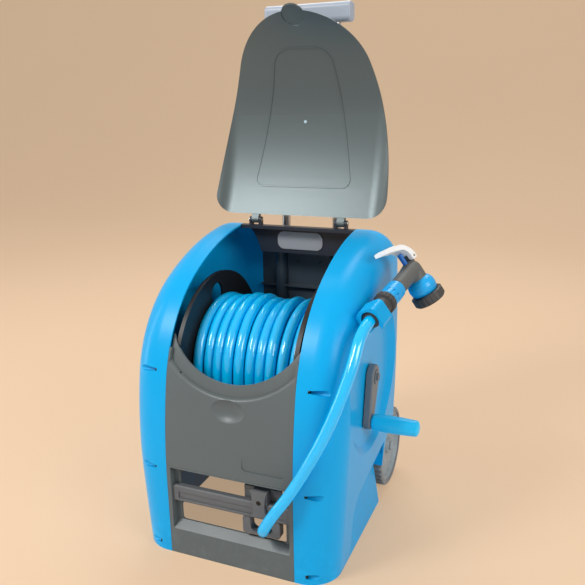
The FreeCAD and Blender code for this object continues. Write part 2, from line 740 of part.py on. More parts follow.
def grip_pocket():
    """Grey hand pocket through the header, open to the rear."""
    w = POCKET_WALL
    z0, z1 = POCKET_Z
    h = POCKET_HALF - w
    hollow = rounded_box(-h, h, HEADER_FRONT - POCKET_PROUD + w, 2 * REACH, z0 + w, z1 - w,
                         POCKET_CORNER - w, V(0, 1, 0))
    return pocket_block(0.0).cut(hollow).common(body_block())


def handle_guide(z0, z1, bore):
    """Block on the rear wall with two bores for the handle tubes."""
    y0 = rear_y()
    block = box(-GUIDE_HALF, GUIDE_HALF, y0, y0 + GUIDE_DEPTH, z0, z1)
    block = softened(block, 8.0, lambda e: ring_at(e, V(0, 1, 0), y0 + GUIDE_DEPTH) and
                     e.BoundBox.ZLength > 1)
    block = softened(block, 3.0, lambda e: ring_at(e, V(0, 1, 0), y0 + GUIDE_DEPTH))
    window = rounded_box(-TUBE_X + 16, TUBE_X - 16, y0 + 6, y0 + 60, z0 - 1, z1 + 1, 4.0, V(0, 0, 1))
    block = block.cut(window)
    bores = [rod_z(bore, z0 - 1, z1 + 1, s * TUBE_X, TUBE_Y) for s in (-1, 1)]
    return block.cut(bores + guide_screw_holes(SCREW_SHANK + SCREW_FIT))


def guide_screw_places():
    return [(s * 22.0, (z[0] + z[1]) / 2) for s in (-1, 1) for z in (UPPER_GUIDE_Z, LOWER_GUIDE_Z)]


def guide_screw_holes(radius):
    y = rear_y()
    return [rod_y(radius, y - 8.0, y + 20.0, x, z) for x, z in guide_screw_places()]


def rear_screws():
    """Screws that hold the handle guides to the rear wall, driven in from behind."""
    y = rear_y() + 6.0
    screws = []
    for x, z in guide_screw_places():
        head = rod_y(SCREW_HEAD, y, y + 2.2, x, z)
        screws.append(head.fuse(rod_y(SCREW_SHANK, y - 12.0, y, x, z)))
    return Part.makeCompound(screws)


# Lid
def lid_frame():
    """Length of the lid's chord from hinge to tip, and the chord's slope when closed."""
    tip_z = CUT_CENTRE_Z - CUT_RADIUS
    dy = HINGE_Y - front_y(tip_z)
    dz = HINGE_Z - tip_z
    return math.hypot(dy, dz), math.atan2(dz, dy)


def lid_prism():
    """Outline of the lid in the plane of its chord, drawn through the closed shell."""
    length = lid_frame()[0]
    waist = length - LID_TIP_RISE
    top = LID_REAR + LID_CORNER
    bow = V((LID_HALF + LID_WAIST) / 2 + LID_BULGE, (top + waist) / 2, 0)
    turn = LID_CORNER * (1 - math.sqrt(0.5))
    corner = V(LID_HALF - turn, LID_REAR + turn, 0)
    start = LID_HALF - LID_CORNER
    face = outline(
        V(-start, LID_REAR, 0), V(start, LID_REAR, 0), (corner, V(LID_HALF, top, 0)),
        (bow, V(LID_WAIST, waist, 0)), (V(0, length, 0), V(-LID_WAIST, waist, 0)),
        (V(-bow.x, bow.y, 0), V(-LID_HALF, top, 0)), (V(-corner.x, corner.y, 0), V(-start, LID_REAR, 0)),
    )
    return through_lid(face)


def through_lid(face):
    """Prism of a face drawn in the plane of the lid's chord, its own Y from the hinge to the tip."""
    prism = face.extrude(V(0, 0, REACH + LID_CORNER))
    prism.translate(V(0, 0, -REACH))
    slope = lid_frame()[1]
    c, s = math.cos(slope), math.sin(slope)
    place = Matrix(1, 0, 0, 0, 0, -c, s, HINGE_Y, 0, -s, -c, HINGE_Z, 0, 0, 0, 1)
    prism.Placement = Placement(place).multiply(prism.Placement)
    return prism


def ridge_prism(inset):
    """Rounded trapezoid of the stiffening ridge, drawn through the lid."""
    x0, y0 = RIDGE_LOW[0] - inset, RIDGE_LOW[1] + inset
    x1, y1 = RIDGE_HIGH[0] - inset, RIDGE_HIGH[1] - inset
    prism = outline(V(-x0, y0, 0), V(x0, y0, 0), V(x1, y1, 0), V(-x1, y1, 0)).extrude(V(0, 0, 1))
    for radius, y in zip(RIDGE_CORNERS, (y0, y1)):
        prism = softened(prism, radius - inset, lambda e: ring_at(e, V(0, 1, 0), y) and e.BoundBox.ZLength > 0.5)
    return through_lid([f for f in prism.Faces if ring_at(f, V(0, 0, 1), 0.0)][0])


def lid_marks():
    """Ridge and gate mark that stand on the lid's inner face."""
    gate = through_lid(Part.Face(Part.Wire(Part.makeCircle(GATE_RADIUS, V(0, GATE_PLACE, 0)))))
    lines = ridge_prism(0.0).cut(ridge_prism(RIDGE_WIDTH)).fuse(gate)
    return lines.common(body_block(-LID_GAP).cut(body_block(RIDGE_RISE - LID_GAP)))


def lid_tab():
    """Round finger tab at the lid's tip: the disc to take out, and the raised disc to put there."""
    disc = rod_y(TAB_RADIUS, -REACH, HINGE_Y / 2, 0, CUT_CENTRE_Z - CUT_RADIUS + TAB_BACK)
    low = LID_GAP + TAB_SHIFT
    return disc, body_block(-low - LID_WALL).cut(body_block(-low)).common(disc)


def lid():
    """Thin domed lid with hinge knuckles and a finger tab, modelled shut and swung open."""
    skin = body_block(-LID_GAP - LID_WALL).cut(body_block(-LID_GAP)).common(lid_prism())
    disc, tab = lid_tab()
    skin = skin.cut(disc).fuse([tab, lid_marks()])
    for side in (-1, 1):
        x = side * HINGE_X
        x0, x1 = x - KNUCKLE_HALF, x + KNUCKLE_HALF
        knuckle = rod_x(KNUCKLE_RADIUS, x0, x1, HINGE_Y, HINGE_Z)
        arm = box(x0, x1, HINGE_Y - 22.0, HINGE_Y, HINGE_Z - 7.0, HINGE_Z + 2.0)
        arm = arm.cut(body_block(-LID_GAP))
        skin = skin.fuse(knuckle.fuse(arm))
    skin = skin.cut(hinge_bore(PIN_RADIUS + PIN_CLEAR)).removeSplitter()
    skin.rotate(V(0, HINGE_Y, HINGE_Z), V(1, 0, 0), -LID_OPEN)
    return skin


# Reel
def reel_flange():
    """Right flange disc with a rim lip, hub boss and a ring of lightening holes."""
    x0, x1 = FLANGE_X, FLANGE_X + FLANGE_WALL
    disc = on_axis(FLANGE_RADIUS, x0, x1)
    lip = on_axis(FLANGE_RADIUS, x1, x1 + FLANGE_LIP).cut(on_axis(FLANGE_RADIUS - 4.0, x1, x1 + FLANGE_LIP))
    boss = on_axis(HUB_RADIUS, x0 - HUB_LENGTH, x1 + HUB_LENGTH)
    flange = disc.fuse([lip, boss])
    flange = flange.cut(on_axis(SHAFT_RADIUS + RUN_CLEAR, 0, REACH))
    holes = []
    for k in range(FLANGE_HOLES):
        a = math.radians(FLANGE_HOLE_TURN + 360.0 * k / FLANGE_HOLES)
        y = AXIS_Y + FLANGE_HOLE_RING * math.cos(a)
        z = AXIS_Z + FLANGE_HOLE_RING * math.sin(a)
        holes.append(rod_x(FLANGE_HOLE_RADIUS, x0 - 1, x1 + 1, y, z))
    return flange.cut(holes)


def reel_drum():
    tube = on_axis(DRUM_RADIUS, -FLANGE_X, FLANGE_X)
    tube = tube.cut(on_axis(DRUM_RADIUS - DRUM_WALL, -FLANGE_X, FLANGE_X))
    port = Part.makeCylinder(INLET_BORE + 3.0 + RUN_CLEAR, DRUM_RADIUS + 1, elbow_base(), V(0, 0, 1))
    return tube.cut(port)


def elbow_base():
    return V(-FLANGE_X + HUB_LENGTH + 18.0, AXIS_Y, AXIS_Z)


def drum_elbow():
    """Elbow inside the drum that leads the water from the inlet to the hose's inner end."""
    base = elbow_base()
    r = INLET_BORE + 3.0
    socket = on_axis(HUB_RADIUS - 6.0, -FLANGE_X + HUB_LENGTH, base.x + r)
    riser = Part.makeCylinder(r, DRUM_RADIUS, base, V(0, 0, 1))
    riser = riser.common(on_axis(DRUM_RADIUS, -FLANGE_X, FLANGE_X))
    body = socket.fuse(riser)
    bore = Part.makeCylinder(INLET_BORE, DRUM_RADIUS + 1, base, V(0, 0, 1))
    return body.cut([bore, on_axis(INLET_BORE, -FLANGE_X, base.x)])


def hose_core():
    """Inner layers of hose, plain under the outer turns."""
    x0 = WIND_START_X - HOSE_RADIUS - CORE_END_GAP
    core = on_axis(CORE_RADIUS, x0, FLANGE_X - CORE_END_GAP)
    core = core.cut(on_axis(DRUM_RADIUS, -FLANGE_X, FLANGE_X))
    return softened(core, HOSE_RADIUS, lambda e: e.BoundBox.ZLength > 1.9 * CORE_RADIUS and
                    e.BoundBox.XLength < 1e-3)


def winding_point(turns):
    """Centre line of the outer layer after a number of turns, which ends at the front."""
    a = math.pi + 2 * math.pi * (turns - WIND_TURNS)
    x = WIND_START_X + WIND_PITCH * turns
    r = WIND_RADIUS - WIND_WAVE * math.cos(2 * math.pi * x / WIND_WAVE_LENGTH)
    return V(x, AXIS_Y + r * math.cos(a), AXIS_Z + r * math.sin(a))


def winding_heading(turns):
    step = 1e-4
    way = winding_point(turns + step) - winding_point(turns - step)
    return way.normalize()


def biarc(p0, t0, p1, t1):
    """Two tangent arcs from one point and heading to another."""
    v = p1 - p0
    both = t0 + t1
    spread = 2 * (1 - t0.dot(t1))
    b = v.dot(both)
    d = (-b + math.sqrt(b * b + spread * v.dot(v))) / spread
    q0, q1 = p0 + t0 * d, p1 - t1 * d
    joint = (q0 + q1) * 0.5
    way = (q1 - q0).normalize()
    arcs = []
    for start, corner, end, heading in ((p0, q0, joint, t0), (joint, q1, p1, t1)):
        w = math.sqrt((1 + heading.dot(way)) / 2)
        mid = (start + end + corner * (2 * w)) * (1 / (2 + 2 * w))
        arcs.append(Part.Arc(start, mid, end).toShape())
    return arcs


def winding_path():
    """Quarter-turn biarcs of the outer layer with a straight end one diameter long at both ends."""
    spots = [WIND_TURNS * k / (4 * WIND_TURNS) for k in range(int(4 * WIND_TURNS) + 1)]
    first, last = winding_point(spots[0]), winding_point(spots[-1])
    lead = 2 * HOSE_RADIUS
    edges = [Part.makeLine(first - winding_heading(spots[0]) * lead, first)]
    for a, b in zip(spots, spots[1:]):
        edges += biarc(winding_point(a), winding_heading(a), winding_point(b), winding_heading(b))
    edges.append(Part.makeLine(last, winding_end()))
    return Part.Wire(edges)


def winding_end():
    return winding_point(WIND_TURNS) + winding_heading(WIND_TURNS) * (2 * HOSE_RADIUS)


def swept_tube(path, radius):
    """Round tube along a path, as one closed solid."""
    first = path.OrderedEdges[0]
    start, heading = first.valueAt(first.FirstParameter), first.tangentAt(first.FirstParameter)
    section = Part.Wire(Part.makeCircle(radius, start, heading))
    shell = Part.BRepOffsetAPI.MakePipeShell(path)
    shell.add(section)
    shell.build()
    shell.makeSolid()
    return shell.shape()


def hose_winding():
    path = winding_path()
    tube = swept_tube(path, HOSE_RADIUS)
    report_tube("hose_winding", tube, path)
    report_gap(path)
    return tube


def report_tube(name, tube, path):
    expected = math.pi * HOSE_RADIUS ** 2 * path.Length
    print(f"{name}: length {path.Length:.1f} mm, volume {tube.Volume:.0f}, section x length {expected:.0f}")


def report_gap(path):
    """Least gap of the winding to itself, on points more than half a turn apart."""
    spots = path.discretize(Number=600)
    skip = int(600 / (2 * WIND_TURNS))
    least = min((a - b).Length for i, a in enumerate(spots) for b in spots[i + skip:])
    print(f"hose_winding: least gap to itself {least - 2 * HOSE_RADIUS:.2f} mm")


def tail_points():
    """Route of the free hose: off the drum, under the rail, up the corner to the gun."""
    gun_way = (GUN_NECK - GUN_START).normalize()
    start = winding_end() + winding_heading(WIND_TURNS) * HOSE_GAP
    return [
        start,
        start + winding_heading(WIND_TURNS) * HOSE_DROP,
        V(62.6, 67.0, 180.0),
        V(60.5, 57.0, 143.0),
        V(59.5, 44.0, 110.0),
        V(59.0, 24.0, 85.0),
        V(60.0, -1.0, 77.5),
        V(66.0, -19.0, 91.0),
        V(84.0, -20.0, 122.0),
        V(109.0, -14.0, 158.0),
        V(136.0, -12.0, 206.0),
        V(160.0, -3.0, 256.0),
        V(178.0, 11.0, 306.0),
        V(189.0, 34.0, 352.0),
        GUN_START - gun_way * 30.0,
        GUN_START,
    ]


def rounded_route(points):
    """Straight runs joined by tangent arcs, each as large as its two runs allow."""
    edges, here = [], points[0]
    radii = []
    for before, corner, after in zip(points, points[1:], points[2:]):
        a, b = (corner - before), (after - corner)
        turn = a.getAngle(b)
        setback = 0.45 * min(a.Length, b.Length)
        radii.append(setback / math.tan(turn / 2))
        u, w = V(a).normalize(), V(b).normalize()
        into, out = corner - u * setback, corner + w * setback
        bow = (w - u).normalize()
        centre = corner + bow * (radii[-1] / math.cos(turn / 2))
        mid = centre - bow * radii[-1]
        edges.append(Part.makeLine(here, into))
        edges.append(Part.Arc(into, mid, out).toShape())
        here = out
    edges.append(Part.makeLine(here, points[-1]))
    print("hose_tail: arc radii", [round(r) for r in radii])
    return Part.Wire(edges)


def hose_tail():
    path = rounded_route(tail_points())
    tube = swept_tube(path, HOSE_RADIUS)
    report_tube("hose_tail", tube, path)
    return tube


# Crank
def shaft_bush():
    """Flanged plain bearing of the crank shaft, in the floor of the right dish."""
    floor = DISH_FLOOR - WALL
    body = on_axis(BUSH_RADIUS, floor - 6.0, DISH_FLOOR)
    lip = on_axis(BUSH_LIP, floor - 6.0 - BUSH_LIP_WALL, floor - RUN_CLEAR)
    return body.fuse(lip).cut(on_axis(SHAFT_RADIUS + RUN_CLEAR, 0, REACH))


def crank_shaft():
    return on_axis(SHAFT_RADIUS, FLANGE_X - HUB_LENGTH, CRANK_TOP)


def crank_arm():
    """Tapered arm from the shaft to the grip pin, with soft edges."""
    a = V(CRANK_X, AXIS_Y, AXIS_Z)
    b = V(CRANK_X, PIN_Y, PIN_Z)
    along = (b - a).normalize()
    across = V(0, -along.z, along.y)
    lean = (CRANK_HUB - CRANK_END) / CRANK_LENGTH
    rise = math.sqrt(1 - lean ** 2)
    spots = {}
    for name, centre, radius in (("hub", a, CRANK_HUB), ("end", b, CRANK_END)):
        for side in (-1, 1):
            spots[name, side] = centre + along * (lean * radius) + across * (side * rise * radius)
    face = outline(
        spots["hub", 1], (a - along * CRANK_HUB, spots["hub", -1]), spots["end", -1],
        (b + along * CRANK_END, spots["end", 1]),
    )
    arm = face.extrude(V(CRANK_WALL, 0, 0))
    arm = softened(arm, 3.0, lambda e: ring_at(e, V(1, 0, 0), CRANK_TOP))
    arm = arm.cut(on_axis(SHAFT_RADIUS + RUN_CLEAR, 0, REACH))
    return arm.cut(rod_x(CRANK_PIN + RUN_CLEAR, 0, REACH, PIN_Y, PIN_Z))


def crank_screw():
    """Screw with a washer head on the end of the shaft."""
    washer = on_axis(SHAFT_RADIUS + 3.0, CRANK_TOP, CRANK_TOP + 1.4)
    head = on_axis(6.0, CRANK_TOP + 1.4, CRANK_TOP + 4.4)
    slot = box(CRANK_TOP + 2.9, CRANK_TOP + 6.0, AXIS_Y - 0.7, AXIS_Y + 0.7, AXIS_Z - 4.4, AXIS_Z + 4.4)
    return washer.fuse(head).cut(slot)


def grip_end():
    return GRIP_X + GRIP_LENGTH


def crank_pin():
    """Steel pin of the grip with a head that keeps the grip on."""
    stem = rod_x(CRANK_PIN, CRANK_X, grip_end() - 6.0, PIN_Y, PIN_Z)
    head = rod_x(CRANK_PIN + 2.5, grip_end() - 6.0, grip_end() - 2.0, PIN_Y, PIN_Z)
    return stem.fuse(head)


def crank_grip():
    """Barrelled sleeve that spins on the pin, hollowed for the pin's head."""
    r, x0, x1 = GRIP_RADIUS, GRIP_X, grip_end()
    stations = [(x0, r - 2.5), (x0 + 3, r - 0.8), (x0 + 24, r), (x1 - 26, r), (x1 - 5, r - 1.0), (x1, r - 1.4)]
    sleeve = lathe_x(stations, PIN_Y, PIN_Z)
    bore = rod_x(CRANK_PIN + RUN_CLEAR, x0 - 1, x1 + 1, PIN_Y, PIN_Z)
    well = rod_x(CRANK_PIN + 3.0, x1 - 6.3, x1 + 1, PIN_Y, PIN_Z)
    return sleeve.cut([bore, well])


def grip_cap():
    r, x0 = GRIP_RADIUS - 1.4, grip_end()
    cap = lathe_x([(x0, r), (x0 + 2.0, r - 0.3), (x0 + CAP_LENGTH - 1, r - 3.0), (x0 + CAP_LENGTH, r - 6.0)], PIN_Y, PIN_Z)
    return cap.fuse(rod_x(CRANK_PIN + 2.9, x0 - 1.4, x0, PIN_Y, PIN_Z))


# Water inlet on the left end of the reel
def water_inlet():
    """Inlet pipe on the reel's axis: collar in the left dish, spigot outside, pipe into the hub."""
    floor = -DISH_FLOOR
    pipe = on_axis(SHAFT_RADIUS, floor + 1.0, HUB_LENGTH - FLANGE_X - SEAM_GAP)
    collar = on_axis(BUSH_RADIUS, floor, floor + WALL + 6.0)
    lip = on_axis(BUSH_LIP, floor + WALL + RUN_CLEAR, floor + WALL + 6.0)
    spigot = on_axis(INLET_RADIUS, floor - INLET_REACH, floor)
    thread = on_axis(INLET_THREAD, floor - NUT_LENGTH, floor)
    body = pipe.fuse([collar, lip, spigot, thread])
    return body.cut(on_axis(INLET_BORE, -REACH, 0))


def inlet_nut():
    """Ring nut that clamps the inlet to the shell from outside."""
    x0 = -DISH_FLOOR - NUT_LENGTH
    nut = on_axis(BUSH_LIP, x0, -DISH_FLOOR - RUN_CLEAR)
    flats = []
    for k in range(12):
        a = 2 * math.pi * k / 12
        y, z = AXIS_Y + (BUSH_LIP + 1.2) * math.cos(a), AXIS_Z + (BUSH_LIP + 1.2) * math.sin(a)
        flats.append(rod_x(2.6, x0 - 1, 0, y, z))
    return nut.cut(flats + [on_axis(INLET_THREAD + RUN_CLEAR, -REACH, 0)])


# Wheels
def wheel_tyre():
    """Tread ring with cross ribs."""
    x0, x1 = WHEEL_X
    ring = rod_x(WHEEL_RADIUS, x0, x1, WHEEL_Y, WHEEL_RADIUS)
    ring = softened(ring, 4.0, lambda e: e.BoundBox.ZLength > WHEEL_RADIUS)
    ring = ring.cut(rod_x(WHEEL_RADIUS - TYRE_WALL, x0, x1, WHEEL_Y, WHEEL_RADIUS))
    centre = V(0, WHEEL_Y, WHEEL_RADIUS)
    top = 2 * WHEEL_RADIUS
    half = math.pi * WHEEL_RADIUS / TREAD_RIBS / 2
    groove = box(x0 - 1, x1 + 1, WHEEL_Y - half, WHEEL_Y + half, top - TREAD_DEPTH, top + 1)
    groove = groove.cut(box(x0 + 12, x1 - 12, 0, 2 * REACH, 0, 2 * REACH))
    cuts = []
    for k in range(TREAD_RIBS):
        one = groove.copy()
        one.rotate(centre, V(1, 0, 0), 360.0 * (k + 0.5) / TREAD_RIBS)
        cuts.append(one)
    return ring.cut(cuts)


def wheel_hub():
    """Dished disc with a rim and a long hub, under the tyre."""
    x0, x1 = WHEEL_X
    r = WHEEL_RADIUS - TYRE_WALL
    y, z = WHEEL_Y, WHEEL_RADIUS
    c = AXLE_RADIUS + RUN_CLEAR
    profile = [
        (x0, c), (x0, 13.0), (x1 - 12, 13.0), (x1 - 9, 30.0), (x1 - 14, r - 8), (x0 + 2, r - 4), (x0 + 2, r),
        (x1 - 2, r), (x1 - 2, r - 4), (x1 - 8, r - 8), (x1 - 5, 30.0), (x1 - 8, 16.0), (x1 - 2, 13.0), (x1 - 2, c),
    ]
    return turned([V(x, y, z + q) for x, q in profile], V(0, y, z), V(1, 0, 0))


def wheel_cap():
    """Domed push cap on the axle's end."""
    x0 = WHEEL_X[1] - 2.0 + SEAM_GAP
    y, z = WHEEL_Y, WHEEL_RADIUS
    cap = lathe_x([(x0, WHEEL_CAP), (x0 + 2.4, WHEEL_CAP), (x0 + 4.6, 6.0), (x0 + 5.2, 2.0)], y, z)
    return cap.cut(rod_x(AXLE_RADIUS, 0, axle_end(), y, z))


def axle_end():
    return WHEEL_X[1] + 1.2


def wheel_axle():
    return rod_x(AXLE_RADIUS, -axle_end(), axle_end(), WHEEL_Y, WHEEL_RADIUS)


# Pull handle
def handle_tube(side):
    z0, z1 = TUBE_FOOT, TUBE_TOP
    tube = rod_z(TUBE_RADIUS, z0, z1, side * TUBE_X, TUBE_Y)
    return tube.cut(rod_z(TUBE_RADIUS - TUBE_WALL, z0, z1, side * TUBE_X, TUBE_Y))


def grip_bar():
    """Moulded bar across the tubes, with blind sockets underneath."""
    y0, y1 = TUBE_Y - BAR_DEPTH / 2, TUBE_Y + BAR_DEPTH / 2
    bar = box(-BAR_HALF, BAR_HALF, y0, y1, BAR_Z[0], BAR_Z[1])
    bar = softened(bar, BAR_CORNER, lambda e: e.BoundBox.XLength > BAR_HALF)
    bar = softened(bar, 4.0, lambda e: abs(abs(e.CenterOfMass.x) - BAR_HALF) < 1e-3)
    sockets = [rod_z(TUBE_RADIUS, 0, TUBE_TOP, s * TUBE_X, TUBE_Y) for s in (-1, 1)]
    return bar.cut(sockets)


def tube_plugs():
    """End plugs under the tubes that stop against the upper guide."""
    plugs = []
    for side in (-1, 1):
        z = TUBE_FOOT
        stem = rod_z(TUBE_RADIUS - TUBE_WALL, z, z + 10.0, side * TUBE_X, TUBE_Y)
        plugs.append(stem.fuse(rod_z(PLUG_RADIUS, z - PLUG_LENGTH, z, side * TUBE_X, TUBE_Y)))
    return Part.makeCompound(plugs)


# Spray gun, modelled along its own X from the hose end, nozzle along its own Z
def gun_frame():
    along = (GUN_NECK - GUN_START).normalize()
    aim = GUN_AIM - along * GUN_AIM.dot(along)
    aim = aim.normalize()
    side = aim.cross(along)
    p = GUN_START
    return Placement(Matrix(along.x, side.x, aim.x, p.x, along.y, side.y, aim.y, p.y,
                            along.z, side.z, aim.z, p.z, 0, 0, 0, 1))


def gun_length():
    return (GUN_NECK - GUN_START).Length


def at_gun(shape):
    shape.Placement = gun_frame().multiply(shape.Placement)
    return shape


def ring_start():
    return CONNECTOR_LENGTH + COLLAR_LENGTH


def handle_start():
    return ring_start() + RING_LENGTH + DIAL_GAP


def hose_connector():
    """Quick connector: a plain barrel that lies in the holder, and a fluted release ring."""
    n, r, big = CONNECTOR_LENGTH, CONNECTOR_RADIUS, RELEASE_RADIUS
    x0 = n - RELEASE_LENGTH
    body = lathe_x([(0, r - 3), (3, r), (x0, r), (x0 + 1.5, big), (n - 2, big), (n, big - 2)], 0, 0)
    flutes = []
    for k in range(RELEASE_FLUTES):
        a = 2 * math.pi * k / RELEASE_FLUTES
        flutes.append(rod_x(1.6, x0, n + 1, (big + 0.6) * math.cos(a), (big + 0.6) * math.sin(a)))
    return at_gun(body.cut(flutes + [rod_x(WATER_BORE, x0 - RELEASE_LENGTH, n + 1, 0, 0)]))


def gun_collar():
    """Threaded nipple between the connector and the gun."""
    x0, x1 = CONNECTOR_LENGTH, ring_start()
    stem = rod_x(COLLAR_RADIUS, x0, x1, 0, 0)
    spigot = rod_x(SPIGOT_RADIUS, x1, handle_start(), 0, 0)
    return at_gun(stem.fuse(spigot).cut(rod_x(WATER_BORE, 0, REACH, 0, 0)))


def flow_ring():
    """Turning sleeve that sets the flow, a soft barrel with finger flutes at its hose end."""
    x0 = ring_start() + DIAL_GAP
    x1 = x0 + RING_LENGTH - DIAL_GAP
    r = RING_RADIUS
    ring = lathe_x([(x0, r - 1.5), (x0 + 2, r), ((x0 + x1) / 2, r + 0.8), (x1 - 2, r), (x1, r - 1.5)], 0, 0)
    flutes = []
    for k in range(RING_FLUTES):
        a = 2 * math.pi * k / RING_FLUTES
        flutes.append(rod_x(1.6, x0 - 1, x0 + RING_LENGTH / 3, (r + 0.8) * math.cos(a), (r + 0.8) * math.sin(a)))
    return at_gun(ring.cut(flutes + [rod_x(SPIGOT_RADIUS + RUN_CLEAR, x0 - 1, x1 + 1, 0, 0)]))


def gun_body():
    """Handle, neck and nozzle stub in one moulding, with a lug for the trigger."""
    x0, x1 = handle_start() + DIAL_GAP, gun_length()
    handle = lathe_x([(x0, GUN_RADIUS - 1), (x0 + 3, GUN_RADIUS), (x1 - 20, GUN_RADIUS + 1), (x1, GUN_RADIUS + KNEE_SWELL)], 0, 0)
    knee = Part.makeSphere(GUN_RADIUS + KNEE_SWELL, V(x1, 0, 0))
    nozzle = Part.makeCylinder(NOZZLE_RADIUS, NOZZLE_LENGTH, V(x1, 0, 0), V(0, 0, 1))
    px, pz = TRIGGER_PIVOT
    lug = rounded_box(x1 + px - 6, x1 + px + 6, -4, 4, pz - 5, -6, 3.0, V(0, 1, 0))
    body = handle.fuse([knee, nozzle, lug])
    pin = rod_y(TRIGGER_PIN + RUN_CLEAR, -30, 30, x1 + px, pz)
    valve = plunger_rod(PLUNGER_RADIUS + RUN_CLEAR, -2.0)
    inside = rod_x(WATER_BORE, x0 - 1, x1, 0, 0)
    way = Part.makeCylinder(7.0, NOZZLE_LENGTH + 1, V(x1, 0, 0), V(0, 0, 1))
    return at_gun(body.cut([pin, valve, inside, way]).removeSplitter())


def plunger_x():
    return gun_length() + TRIGGER_PIVOT[0] - 16.0


def plunger_rod(radius, inner):
    return Part.makeCylinder(radius, 30.0, V(plunger_x(), 0, inner), V(0, 0, -1))


def valve_plunger():
    """Valve plunger that the lever presses into the back of the handle."""
    top, end = -9.0, TRIGGER_PIVOT[1] - 14.6
    stem = Part.makeCylinder(PLUNGER_RADIUS, top - end, V(plunger_x(), 0, top), V(0, 0, -1))
    return at_gun(softened(stem, 1.5, lambda e: ring_at(e, V(0, 0, 1), end)))


def trigger():
    """Curved lever over the back of the handle, on two cheeks either side of the lug."""
    x1 = gun_length()
    px, pz = x1 + TRIGGER_PIVOT[0], TRIGGER_PIVOT[1]
    w = TRIGGER_WIDTH / 2
    back, under = [[V(px + x, -w, pz + z) for x, z in line] for line in (TRIGGER_BACK, TRIGGER_UNDER)]
    face = outline(
        back[0], (back[1], back[2]), (back[3], back[4]),
        under[0], (under[1], under[2]), (under[3], under[4]), under[5],
    )
    lever = face.extrude(V(0, TRIGGER_WIDTH, 0))
    for part in range(TRIGGER_STEPS + 1):
        knee = Part.makeSphere(GUN_RADIUS + KNEE_SWELL + TRIGGER_GAP, V(x1, 0, 0))
        knee.rotate(V(px, 0, pz), V(0, 1, 0), -TRIGGER_PULL * part / TRIGGER_STEPS)
        lever = lever.cut(knee)
    slot = rod_y(9.0, -4.4, 4.4, px, pz).fuse(box(px - 9, px + 20, -4.4, 4.4, pz, pz + 20))
    bore = rod_y(TRIGGER_PIN + RUN_CLEAR, -30, 30, px, pz)
    return at_gun(lever.cut([slot, bore]))


def trigger_pin():
    x1 = gun_length()
    half = TRIGGER_WIDTH / 2 + 0.8
    return at_gun(rod_y(TRIGGER_PIN, -half, half, x1 + TRIGGER_PIVOT[0], TRIGGER_PIVOT[1]))


def nozzle_z(stations):
    """Solid turned about the nozzle's own axis: pairs of place along it and radius."""
    x1 = gun_length()
    points = [V(x1, 0, stations[0][0])] + [V(x1 + r, 0, z) for z, r in stations]
    points.append(V(x1, 0, stations[-1][0]))
    return turned(points, V(x1, 0, 0), V(0, 0, 1))


def spray_head():
    """Bulb of the nozzle."""
    z0 = NOZZLE_LENGTH
    n, r = HEAD_LENGTH, HEAD_RADIUS
    bulb = nozzle_z([(z0, 15.5), (z0 + 4, 19.5), (z0 + 9, r - 1), (z0 + 15, r), (z0 + 22, r - 1), (z0 + n, r - 3)])
    spindle = Part.makeCylinder(5.0, 7.0, V(gun_length(), 0, z0 + n), V(0, 0, 1))
    return at_gun(bulb.fuse(spindle))


def spray_dial():
    """Turning face with spray holes and a knurled rim."""
    z0 = NOZZLE_LENGTH + HEAD_LENGTH + DIAL_GAP
    z1 = z0 + DIAL_LENGTH
    r = DIAL_RADIUS
    dial = nozzle_z([(z0, r - 2.5), (z0 + 1.5, r), (z1 - 3, r), (z1, r - 2.5)])
    x1 = gun_length()
    cuts = [Part.makeCylinder(r - 5, 3.0, V(x1, 0, z1 - 1.6), V(0, 0, 1))]
    cuts.append(Part.makeCylinder(5.0 + RUN_CLEAR, 7.3, V(x1, 0, z0 - 0.1), V(0, 0, 1)))
    for k in range(8):
        a = 2 * math.pi * k / 8
        spot = V(x1 + 14 * math.cos(a), 14 * math.sin(a), z1 - 4.0)
        cuts.append(Part.makeCylinder(3.2, 6.0, spot, V(0, 0, 1)))
    for k in range(20):
        a = 2 * math.pi * k / 20
        spot = V(x1 + (r + 1.0) * math.cos(a), (r + 1.0) * math.sin(a), z0 - 1)
        cuts.append(Part.makeCylinder(1.9, DIAL_LENGTH + 2, spot, V(0, 0, 1)))
    return at_gun(dial.cut(cuts))


def nozzle_clip():
    """Boxed holder on the right shell for the connector, with a slot that lets the hose in from below."""
    x0, x1 = HOLDER_X
    r = CONNECTOR_RADIUS + HOLDER_CLEAR
    h = r + HOLDER_WALL
    block = rounded_box(x0, x1, -h, h, -h, h, HOLDER_CORNER, V(1, 0, 0))
    bore = rod_x(r, x0 - 1, x1 + 1, 0, 0)
    slot = box(x0 - 1, x1 + 1, -HOLDER_SLOT / 2, HOLDER_SLOT / 2, 0, 2 * h)
    middle, half = (x0 + x1) / 2, HOLDER_STEM / 2
    stem = box(middle - half, middle + half, -REACH / 4, -r - HOLDER_WALL / 2, -half, half)
    clip = at_gun(block.cut([bore, slot]).fuse(stem))
    return clip.cut(body_block())


